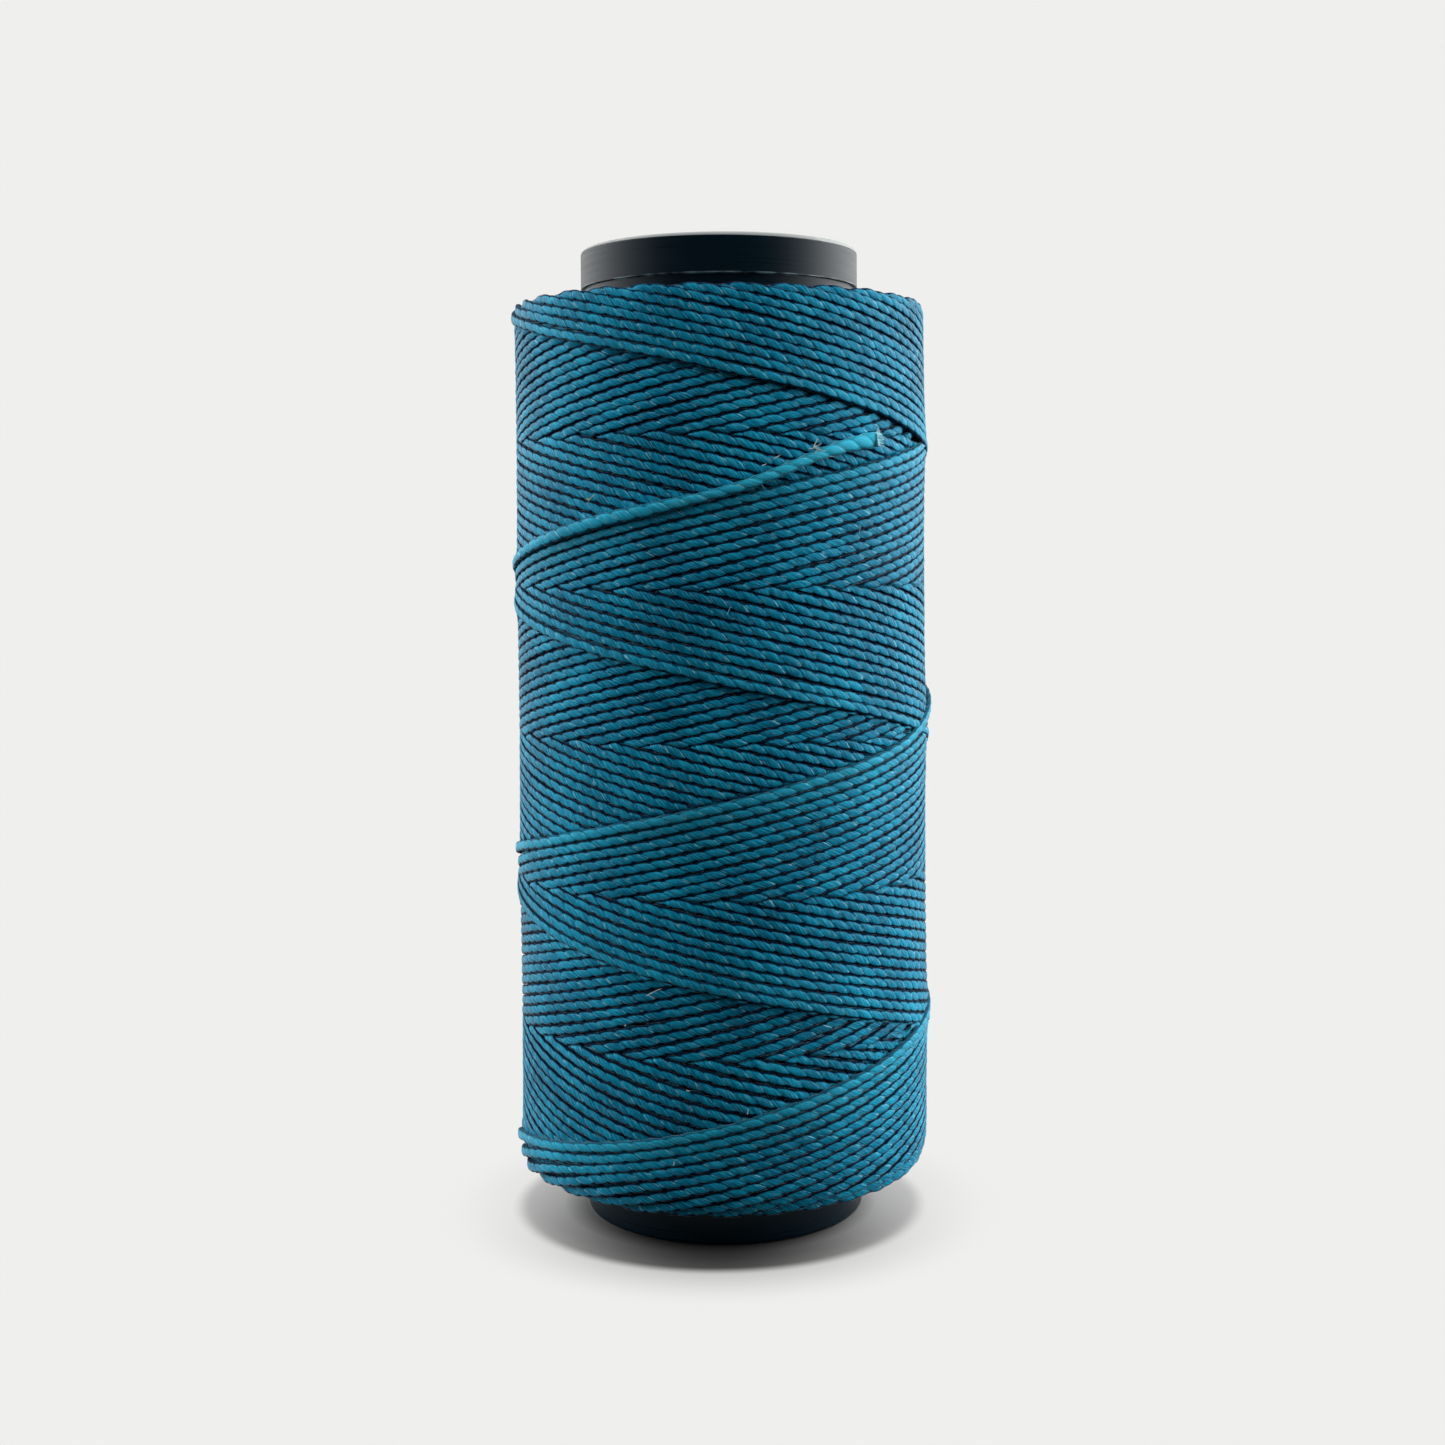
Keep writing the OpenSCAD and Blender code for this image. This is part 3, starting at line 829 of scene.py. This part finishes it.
def on_surface(s, angle, depth):
    """Points at a depth below the winding's surface, at a place along its outline and an angle."""
    s = np.clip(s, profile_s[0], profile_s[-1])
    skin = polar(angle, np.interp(s, profile_s, profile_r), np.interp(s, profile_s, profile_z))
    return skin - depth[:, None] * outward_at(s, angle)


print("surface from", round(profile_s[0], 2), "to", round(profile_s[-1], 2), "mm along its outline")

# %% [markdown]
# Now the whole outer layer is one line: an angle every degree where it shows and every few where it is under
# the others, with a slight sway and a width that isn't quite even, because a real thread is never ruled.

# %% Draw the line of the outer layer
LAYER_SEED = 11
SEEN_STEP, HIDDEN_STEP, SEEN_LEVEL = 1.0, 4.0, 0.02
# the youngest thread stands proud by this share of its diameter, and the older ones less
PROUD, PROUD_FADE = 0.45, 4.0
# the newest threads are painted paler, partly for the light that their raised band catches; older and falling
# ones less
FRESH_LIT_FADE, FALLING_FRESH_LIT = 1.6, 0.3
SWAY, SWAY_RUN = 0.08, 9.0
SHORT_SWAY_SHARE, SHORT_SWAY_RUN = 0.5, 3.5
SWELL, SWELL_RUN = 0.06, 6.0
NOISE_SPREAD = 0.6
# degrees in which the layer's end comes up to the height of the loose end
JOIN_RUN = 30.0
# where the thread lies slack: unwound angle, degrees either side, shift up and lift off the surface
SLACK = ((-182, 40, 0.5, 0.3), (-2342, 40, 0.2, 0.45), (-4502, 40, 0.1, 0.7), (-6662, 40, 0.0, 0.4),
         (5, 28, -0.7, 0.12), (170, 30, 0.7, 0.2), (365, 28, 1.7, 0.4))


def soft_noise(rng, at, run):
    """Smooth seeded noise along a line, about -1 to 1, that changes over a run."""
    knots = rng.normal(0, NOISE_SPREAD, int(at[-1] / run) + 4)
    x = at / run
    i = x.astype(int)
    t = ease(x - i)
    return knots[i] * (1 - t) + knots[i + 1] * t


start_angle = low_apex_angle - 2 * DOUBLE_STROKES * stroke_angle
angles = np.arange(start_angle, end_angle + SEEN_STEP, SEEN_STEP)
angles[-1] = end_angle
level, top_age, height = level_of(angles)
edges = [level_of(angles, 0.0, side * PITCH / 2)[0] for side in (-1, 1)]
shows = np.maximum(level, np.maximum(*edges)) > SEEN_LEVEL
keep = shows | (np.arange(len(angles)) % int(HIDDEN_STEP / SEEN_STEP) == 0)
angles, level, top_age, height = angles[keep], level[keep], top_age[keep], height[keep]
depth = THREAD_D / 2 - PROUD * THREAD_D * np.exp(-top_age / PROUD_FADE)
depth -= (route[0, 2] + depth[-1]) * (1 - ease((end_angle - angles) / JOIN_RUN))
for at, run, shift, lift in SLACK:
    bulge = np.exp(-(((angles - at) / run) ** 2))
    height = height + shift * bulge
    depth -= lift * bulge
layer_rng = np.random.default_rng(LAYER_SEED)
flat_at = np.concatenate([[0], np.cumsum(np.diff(angles) * winding_r * math.pi / 180)])
sway = SWAY * soft_noise(layer_rng, flat_at, SWAY_RUN)
sway += SHORT_SWAY_SHARE * SWAY * soft_noise(layer_rng, flat_at, SHORT_SWAY_RUN)
layer_s = along_outline(height, angles) + sway
layer_points = on_surface(layer_s, angles, depth)
layer_out = outward_at(layer_s, angles)
layer_at = lengths_along(layer_points)
layer_width = 1 + SWELL * soft_noise(layer_rng, flat_at, SWELL_RUN)
# paleness of the newest threads, partly painted light
layer_fresh_lit = np.exp(-top_age / PITCH / FRESH_LIT_FADE) * np.where(stroke_of(angles)[2], 1.0, FALLING_FRESH_LIT)
print("outer layer", len(angles), "points,", round(layer_at[-1] / 1000, 1), "m of thread")

# %% [markdown]
# Where a thread goes under another it is cut off in the picture along the other's edge. So each point of the
# swept skin looks up its own level, not only the centre line, and sinks if a younger thread lies over it.

# %% Sweep the outer layer
LAYER_PIECES = 8
# how far a thread sinks under a younger one
LEVEL_STEP = 0.62


def sunk_under(points, rings):
    """The skin's points, sunk where a younger thread crosses over them."""
    ring = np.repeat(np.arange(rings.start, rings.stop), SECTION_SIDES)
    turn = np.degrees(np.arctan2(points[:, 1], points[:, 0]))
    aside = np.mod(turn - angles[ring] + 180, 360) - 180
    on_top = level_of(angles[ring], aside, points[:, 2] - layer_points[ring, 2])[0]
    return points - (LEVEL_STEP * (1 - on_top))[:, None] * layer_out[ring]


cuts = np.linspace(0, len(angles), LAYER_PIECES + 1).astype(int)
for part in range(LAYER_PIECES):
    run = slice(cuts[part], min(cuts[part + 1] + 1, len(angles)))
    piece = swept_thread(
        f"wound_thread_{part + 1}",
        [{"points": layer_points[run], "width": layer_width[run], "fresh_and_lit": layer_fresh_lit[run]}],
        phase=2 * math.pi * layer_at[cuts[part]] / LAY, settle=lambda points: sunk_under(points, run))
    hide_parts("outer_winding")
    print(piece.name, triangle_count(piece), "triangles")

# %% [markdown]
# ## The bed of inner layers
# Under the outer layer lie four more of the same thread. Only slits of them show, so a plain turned body
# stands for them, in the colour of thread in deep shade.

# %% Turn the bed
# depth below the surface, in thread diameters
BED_DEPTH = 1.7
BED_SIDES = 128
# just clear of the tube
BED_INNER = 17.05
BED_SHADE, BED_DEEP = "#04204A", "#02122A"
BED_ROUGHNESS = 0.7
# the bed's outline takes one in this many points of the surface's
OUTLINE_SKIP = 20


def turned(name, outline, sides, material):
    """A closed body of revolution round the spindle axis, from an outline of radius and height in mm."""
    outline = np.array(outline, float)
    count = len(outline)
    turns = np.linspace(0, 360, sides, endpoint=False)
    points = np.concatenate([polar(np.full(count, a), outline[:, 0], outline[:, 1]) for a in turns])
    faces = []
    for i in range(sides):
        for j in range(count):
            a, b = i * count, (i + 1) % sides * count
            faces.append((a + j, b + j, b + (j + 1) % count, a + (j + 1) % count))
    mesh = bpy.data.meshes.new(name)
    mesh.from_pydata((points * MM).tolist(), [], faces)
    mesh.shade_smooth()
    mesh.materials.append(material)
    piece = bpy.data.objects.new(name, mesh)
    scene.collection.objects.link(piece)
    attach(piece, BODY)
    return piece


def bed_material():
    """The same waxed thread where no light reaches it: matt navy, in grains as wide as a thread."""
    material, tree, shader = new_material("thread_in_shade")
    grain = add(tree, "ShaderNodeTexNoise", Vector=add(tree, "ShaderNodeTexCoord").outputs["Object"],
                Scale=1 / (THREAD_D * MM), Detail=2.0)
    shade = add(tree, "ShaderNodeMix", RGBA, i0=grain.outputs["Fac"],
                i6=colour(BED_DEEP), i7=colour(BED_SHADE))
    tree.links.new(shade.outputs[2], shader.inputs["Base Color"])
    shader.inputs["Roughness"].default_value = BED_ROUGHNESS
    return material


bed_outline = np.column_stack([profile_r - BED_DEPTH * THREAD_D * profile_nr,
                               profile_z - BED_DEPTH * THREAD_D * profile_nz])[::OUTLINE_SKIP]
bed_ends = [[[BED_INNER, bed_outline[k, 1]]] for k in (0, -1)]
bed = turned("thread_bed", np.concatenate([bed_ends[0], bed_outline, bed_ends[1]]), BED_SIDES, bed_material())
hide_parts("inner_winding")
print("bed", triangle_count(bed), "triangles")

# %% [markdown]
# ## The end faces
# Each inner layer turns back at the ends as the outer one does, so the top shows rings of short arcs, one
# pair of rings for each layer: a thread comes up under its neighbour, turns, and goes down over it. The same
# tree sweeps the arcs, leaning so that they are pressed towards the end face.

# %% Lay the reversals of the inner layers
ENDS_SEED = 5
ARCS = 29
ARC_REACH = 34.0
ARC_STEP = 2.0
ARC_SIDES = 10
ARC_LEAN = 2.0
ARC_PRESSED = 0.75
LAYER_STEP = 1.75
TOP_LAYERS, FOOT_LAYERS = 4, 2
# how far inside the shoulder the outermost ring lies
TOP_RING_IN, FOOT_RING_IN = 1.6, 1.2
# depth of an arc below the end face, and how far in its first half tucks, in thread diameters
ARC_DEPTH, ARC_TUCK = 0.15, 0.85
# spread of the arcs' depth, angle and radius
DEPTH_STRAY, TURN_STRAY, RADIUS_STRAY = 0.12, 1.0, 0.05


def reversal_arcs(edge_z, down, first_r, layers, rng):
    """Lines of the threads that turn back at one end, layer inside layer."""
    turn = np.arange(-ARC_REACH, ARC_REACH + ARC_STEP, ARC_STEP)
    from_edge = np.hypot(LEAD * turn / 360, TOP_ROUND) - TOP_ROUND
    under = 1 - ease(0.5 + turn / (2 * half_turn_per_pitch))
    lines = []
    for layer in range(layers):
        r = first_r - LAYER_STEP * layer
        phase = rng.uniform(0, 360)
        for arc in range(ARCS):
            stray = rng.normal(0, DEPTH_STRAY)
            z = edge_z + down * (from_edge + THREAD_D / 2 + ARC_DEPTH + stray)
            angle = phase + 360 * arc / ARCS + turn + rng.normal(0, TURN_STRAY)
            points = polar(angle, r - ARC_TUCK * THREAD_D * under + rng.normal(0, RADIUS_STRAY), z)
            lines.append({"points": points, "width": np.ones(len(turn)), "fresh_and_lit": np.zeros(len(turn))})
    return lines


ends_rng = np.random.default_rng(ENDS_SEED)
for name, edge_z, down, layers, ring_in in (
        ("top_reversals", bed_high, -1, TOP_LAYERS, HIGH_SHOULDER_IN + TOP_RING_IN),
        ("foot_reversals", bed_low, 1, FOOT_LAYERS, LOW_SHOULDER_IN + FOOT_RING_IN)):
    arcs = reversal_arcs(edge_z, down, winding_r - ring_in, layers, ends_rng)
    piece = swept_thread(name, arcs, sides=ARC_SIDES, pressed=ARC_PRESSED, lean=-ARC_LEAN * down)
    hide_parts("inner_winding")
    print(piece.name, triangle_count(piece), "triangles")

# %% [markdown]
# ## Black tube
# The tube is moulded polypropylene, blackened with carbon. It has a satin skin with fine scratches round it.
# The outer edge of the upper rim has a painted highlight, where its rounding catches the light, and a broken
# pale line runs where the collar steps in. The imported solid already has the tube's true form, so it stays
# as it is and only gets its finish.

# %% Paint the tube
TUBE_BLACK = "#03161F"
# painted highlight on the rim's outer edge
RIM_HIGHLIGHT_GREY = "#A0A5A3"
# a pale broken line along the collar's step
STEP_LINE_PALE = "#8B9A9C"
COLLAR_H = 4.8
# painted highlight on the upper rim's outer edge, reaching further down on the right than on the left
RIM_HIGHLIGHT_LEFT, RIM_HIGHLIGHT_RIGHT, RIM_HIGHLIGHT_IN = 0.4, 0.6, 0.65
RIM_HIGHLIGHT_FADE, RIM_HIGHLIGHT_MOST = 0.1, 0.9
STEP_LINE_H = 0.16
BLOTCH_MM = 2.5
STEP_LINE_FROM, STEP_LINE_FULL, STEP_LINE_MOST = 0.42, 0.6, 0.8
# scratches run round the tube, so they are long in x and y and thin in z
SCRATCH_RUN, SCRATCH_MM = 9.0, 0.3
SCRATCH_BUMP, SCRATCH_DEPTH = 0.1, 0.02
SATIN_GLOSSY, SATIN_MATT = 0.26, 0.35
# that of polypropylene is about 1.49: lowered until the shine matched the photograph
TUBE_IOR = 1.19


def tube_material():
    """Satin black plastic, with a painted highlight on the rim and a broken pale line under the collar."""
    material, tree, shader = new_material("moulded_black_polypropylene")
    place = add(tree, "ShaderNodeTexCoord").outputs["Object"]
    spot = add(tree, "ShaderNodeSeparateXYZ", i0=place).outputs

    # the painted highlight on the rim: high enough and far enough out
    highlight_drop = add(tree, "ShaderNodeMapRange", Value=spot["X"], From_Min=-collar_r * MM, From_Max=collar_r * MM,
                To_Min=RIM_HIGHLIGHT_LEFT * MM, To_Max=RIM_HIGHLIGHT_RIGHT * MM)
    raised = add(tree, "ShaderNodeMath", {"operation": "ADD"}, i0=spot["Z"], i1=highlight_drop)
    high = add(tree, "ShaderNodeMapRange", Value=raised, From_Min=tube_l * MM,
               From_Max=(tube_l + RIM_HIGHLIGHT_FADE) * MM, To_Max=RIM_HIGHLIGHT_MOST)
    across = add(tree, "ShaderNodeVectorMath", {"operation": "MULTIPLY"}, i0=place, i1=(1, 1, 0))
    radius = add(tree, "ShaderNodeVectorMath", {"operation": "LENGTH"}, i0=across).outputs["Value"]
    outer = add(tree, "ShaderNodeMapRange", Value=radius, From_Min=(collar_r - RIM_HIGHLIGHT_IN) * MM,
                From_Max=(collar_r - RIM_HIGHLIGHT_IN + RIM_HIGHLIGHT_FADE) * MM)
    rim_highlight = add(tree, "ShaderNodeMath", {"operation": "MULTIPLY"}, i0=high, i1=outer)

    # a pale line at the collar's step, broken by blotches
    step_z = (tube_l - COLLAR_H) * MM
    from_step = add(tree, "ShaderNodeMath", {"operation": "SUBTRACT"}, i0=spot["Z"], i1=step_z)
    off_step = add(tree, "ShaderNodeMath", {"operation": "ABSOLUTE"}, i0=from_step)
    on_step = add(tree, "ShaderNodeMapRange", Value=off_step, From_Max=STEP_LINE_H * MM,
                  To_Min=1.0, To_Max=0.0)
    blotches = add(tree, "ShaderNodeTexNoise", Vector=place, Scale=1 / (BLOTCH_MM * MM), Detail=3.0)
    broken = add(tree, "ShaderNodeMapRange", Value=blotches.outputs["Fac"], From_Min=STEP_LINE_FROM,
                 From_Max=STEP_LINE_FULL, To_Max=STEP_LINE_MOST)
    pale_step = add(tree, "ShaderNodeMath", {"operation": "MULTIPLY"}, i0=on_step, i1=broken)

    tone = colour(TUBE_BLACK)
    for share, hex_code in ((rim_highlight, RIM_HIGHLIGHT_GREY), (pale_step, STEP_LINE_PALE)):
        tone = add(tree, "ShaderNodeMix", RGBA, i0=share, i6=tone, i7=colour(hex_code)).outputs[2]
    tree.links.new(tone, shader.inputs["Base Color"])
    stretched = add(tree, "ShaderNodeMapping", Vector=place,
                    Scale=(1 / (SCRATCH_RUN * MM), 1 / (SCRATCH_RUN * MM), 1 / (SCRATCH_MM * MM)))
    scratches = add(tree, "ShaderNodeTexNoise", Vector=stretched, Scale=1.0, Detail=3.0).outputs["Fac"]
    satin = add(tree, "ShaderNodeMapRange", Value=scratches, From_Min=NOISE_LOW, From_Max=NOISE_HIGH,
                To_Min=SATIN_GLOSSY, To_Max=SATIN_MATT)
    tree.links.new(satin.outputs[0], shader.inputs["Roughness"])
    bump = add(tree, "ShaderNodeBump", Height=scratches, Strength=SCRATCH_BUMP, Distance=SCRATCH_DEPTH * MM)
    tree.links.new(bump.outputs[0], shader.inputs["Normal"])
    shader.inputs["IOR"].default_value = TUBE_IOR
    return material


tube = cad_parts["core_tube"]
tube.data.materials.clear()
tube.data.materials.append(tube_material())
print("tube painted with", tube.data.materials[0].name)

# %% [markdown]
# ## Stage and light
# The spool stands on white paper in a bright room: light comes from both sides, from behind and from above,
# and less from the camera's side. Area lamps could do it all, but a room's light has no edges, so the world
# is a sum of soft lobes, one for each side, and one lamp hangs above.

# %% Light the room
BACKDROP = "#EFEFED"
# direction, strength and sharpness of each lobe
LIGHTS = {
    "left": ((-0.93, 0.15, 0.33), 5.1, 6),
    "right": ((0.95, 0.15, 0.27), 8.0, 7),
    "back_left": ((-0.7, 0.7, 0.1), 1.4, 6),
    "back_right": ((0.7, 0.7, 0.1), 2.0, 6),
    "high_back": ((0, 0.6, 0.8), 1.2, 5),
    "front": ((0, -0.7, 0.7), 0.05, 2),
}

world = bpy.data.worlds.new("white_room")
scene.world = world
world.use_nodes = True
tree = world.node_tree
tree.nodes.clear()
direction = add(tree, "ShaderNodeTexCoord").outputs["Generated"]
total = 0.0
for way, strength, sharpness in LIGHTS.values():
    facing = add(tree, "ShaderNodeVectorMath", {"operation": "DOT_PRODUCT"}, i0=direction, i1=way)
    lit = add(tree, "ShaderNodeMath", {"operation": "MAXIMUM"}, i0=facing.outputs["Value"], i1=0.0)
    lobe = add(tree, "ShaderNodeMath", {"operation": "POWER"}, i0=lit, i1=float(sharpness))
    total = add(tree, "ShaderNodeMath", {"operation": "MULTIPLY_ADD"}, i0=lobe, i1=strength, i2=total)
room = add(tree, "ShaderNodeBackground", Color=(1, 1, 1, 1), Strength=total)
seen = add(tree, "ShaderNodeBackground", Color=colour(BACKDROP), Strength=1.0)
rays = add(tree, "ShaderNodeLightPath").outputs
clear_rays = add(tree, "ShaderNodeMath", {"operation": "MAXIMUM"},
                 i0=rays["Is Camera Ray"], i1=rays["Is Transmission Ray"])
mixed = add(tree, "ShaderNodeMixShader", Fac=clear_rays, i1=room, i2=seen)
add(tree, "ShaderNodeOutputWorld", Surface=mixed)
print("world with", len(LIGHTS), "lobes of light")

# %% [markdown]
# A lamp above and in front of the spool gives the crests of the threads their small lights.

# %% Hang the lamp
LAMP_AT, LAMP_AIM = (0, -100, 315), (0, 0, 60)
LAMP_R = 100
# light that reaches the point aimed at, as a share of full white
LAMP_SHARE = 0.32

lamp = bpy.data.lights.new("overhead_lamp", "AREA")
lamp.shape = "DISK"
lamp.size = 2 * LAMP_R * MM
lamp.energy = LAMP_SHARE * math.pi * math.pi * (math.dist(LAMP_AT, LAMP_AIM) * MM) ** 2
lamp_object = bpy.data.objects.new("overhead_lamp", lamp)
lamp_object.location = [x * MM for x in LAMP_AT]
aim = Vector([x * MM for x in LAMP_AIM]) - Vector(lamp_object.location)
lamp_object.rotation_euler = aim.to_track_quat("-Z", "Y").to_euler()
lamp_object.visible_camera = False
scene.collection.objects.link(lamp_object)
print("lamp of", round(lamp.energy, 3), "W")

# %% [markdown]
# Past the winding's overhang the paper is as bright as the backdrop, but only to the camera and in
# reflections, so that it throws no extra light onto the spool. Under the overhang its colour carries a
# painted shadow, deepest on the unlit front side, whose fringe also dims the bright paper just past the
# overhang. The light that it throws back up from there is pale at the sides and behind, and a dark grey in
# front.

# %% Lay the white paper
FLOOR_R, FLOOR_SIDES, FLOOR_SINK = 2000.0, 96, 0.05
PAPER_WHITE = "#F4F4F2"
PAPER_ROUGHNESS = 0.9
PAPER_FILL_SIDE, PAPER_FILL_FRONT = "#F0F0EE", "#484846"
OVERHANG_R, OVERHANG_FADE = 25.3, 1.3
SHADE_X = -0.7
SHADE_SIDE, SHADE_FRONT = 0.64, 0.062
# the painted shade is deepest at the foot, and fades to the overhang's between these radii
CONTACT_FROM, CONTACT_TO = 16.9, 19.8
CONTACT_SIDE, CONTACT_FRONT = 0.45, 0.12
# the soft fringe of the painted shade runs from inside the overhang to outside it
FRINGE_IN, FRINGE_OUT = 3.5, 11
FRINGE_SIDE, FRINGE_FRONT = 0.12, 0.42

bpy.ops.mesh.primitive_circle_add(vertices=FLOOR_SIDES, radius=FLOOR_R * MM, fill_type="TRIFAN",
                                  location=(0, 0, -FLOOR_SINK * MM))
floor = bpy.context.object
floor.name = "white_paper"
paper, tree, shader = new_material("white_paper")
rays = add(tree, "ShaderNodeLightPath").outputs
sight = add(tree, "ShaderNodeMath", {"operation": "MAXIMUM"},
            i0=rays["Is Camera Ray"], i1=rays["Is Glossy Ray"])

# distance from the middle of the painted shade, and 1 at the front falling to 0 at the sides and behind
place = add(tree, "ShaderNodeTexCoord").outputs["Object"]
from_shade = add(tree, "ShaderNodeVectorMath", {"operation": "SUBTRACT"}, i0=place, i1=(SHADE_X * MM, 0, 0))
distance = add(tree, "ShaderNodeVectorMath", {"operation": "LENGTH"}, i0=from_shade).outputs["Value"]
forward = add(tree, "ShaderNodeMath", {"operation": "DIVIDE"}, i1=distance,
              i0=add(tree, "ShaderNodeSeparateXYZ", i0=place).outputs["Y"])
facing = add(tree, "ShaderNodeMath", {"operation": "MINIMUM"}, i0=forward, i1=0.0)
front = add(tree, "ShaderNodeMath", {"operation": "POWER"}, i0=facing, i1=2.0)

# the paper under the overhang, with its painted shade
under = add(tree, "ShaderNodeMapRange", Value=front, To_Min=SHADE_SIDE, To_Max=SHADE_FRONT)
deepest = add(tree, "ShaderNodeMapRange", Value=front, To_Min=CONTACT_SIDE, To_Max=CONTACT_FRONT)
contact = add(tree, "ShaderNodeMapRange", Value=distance, From_Min=CONTACT_FROM * MM,
              From_Max=CONTACT_TO * MM, To_Min=deepest)
shade = add(tree, "ShaderNodeMath", {"operation": "MULTIPLY"}, i0=under, i1=contact)
fill = add(tree, "ShaderNodeMix", RGBA, i0=front, i6=colour(PAPER_FILL_SIDE), i7=colour(PAPER_FILL_FRONT))
tone = add(tree, "ShaderNodeMix", RGBA, i0=sight, i6=fill.outputs[2], i7=colour(PAPER_WHITE))
shaded = add(tree, "ShaderNodeMix", RGBA, i0=shade, i6=(0, 0, 0, 1), i7=tone.outputs[2])
tree.links.new(shaded.outputs[2], shader.inputs["Base Color"])
shader.inputs["Roughness"].default_value = PAPER_ROUGHNESS

# the bright paper past it, with the fringe of the painted shade
fringe = add(tree, "ShaderNodeMapRange", Value=front, To_Min=FRINGE_SIDE, To_Max=FRINGE_FRONT)
dim = add(tree, "ShaderNodeMapRange", SMOOTH, Value=distance, From_Min=(OVERHANG_R - FRINGE_IN) * MM,
          From_Max=(OVERHANG_R + FRINGE_OUT) * MM, To_Min=1.0, To_Max=0.0)
lost = add(tree, "ShaderNodeMath", {"operation": "MULTIPLY"}, i0=fringe, i1=dim)
kept = add(tree, "ShaderNodeMath", {"operation": "SUBTRACT"}, i0=1.0, i1=lost)
bright = add(tree, "ShaderNodeMath", {"operation": "MULTIPLY"}, i0=sight, i1=kept)
glow = add(tree, "ShaderNodeEmission", Color=colour(BACKDROP), Strength=bright)
fade = add(tree, "ShaderNodeMapRange", SMOOTH, Value=distance, From_Min=(OVERHANG_R - OVERHANG_FADE) * MM,
           From_Max=(OVERHANG_R + OVERHANG_FADE) * MM)
blended = add(tree, "ShaderNodeMixShader", Fac=fade, i1=shader, i2=glow)
tree.links.new(blended.outputs[0], tree.nodes["Material Output"].inputs["Surface"])
floor.data.materials.append(paper)
print("paper", 2 * FLOOR_R, "mm across")
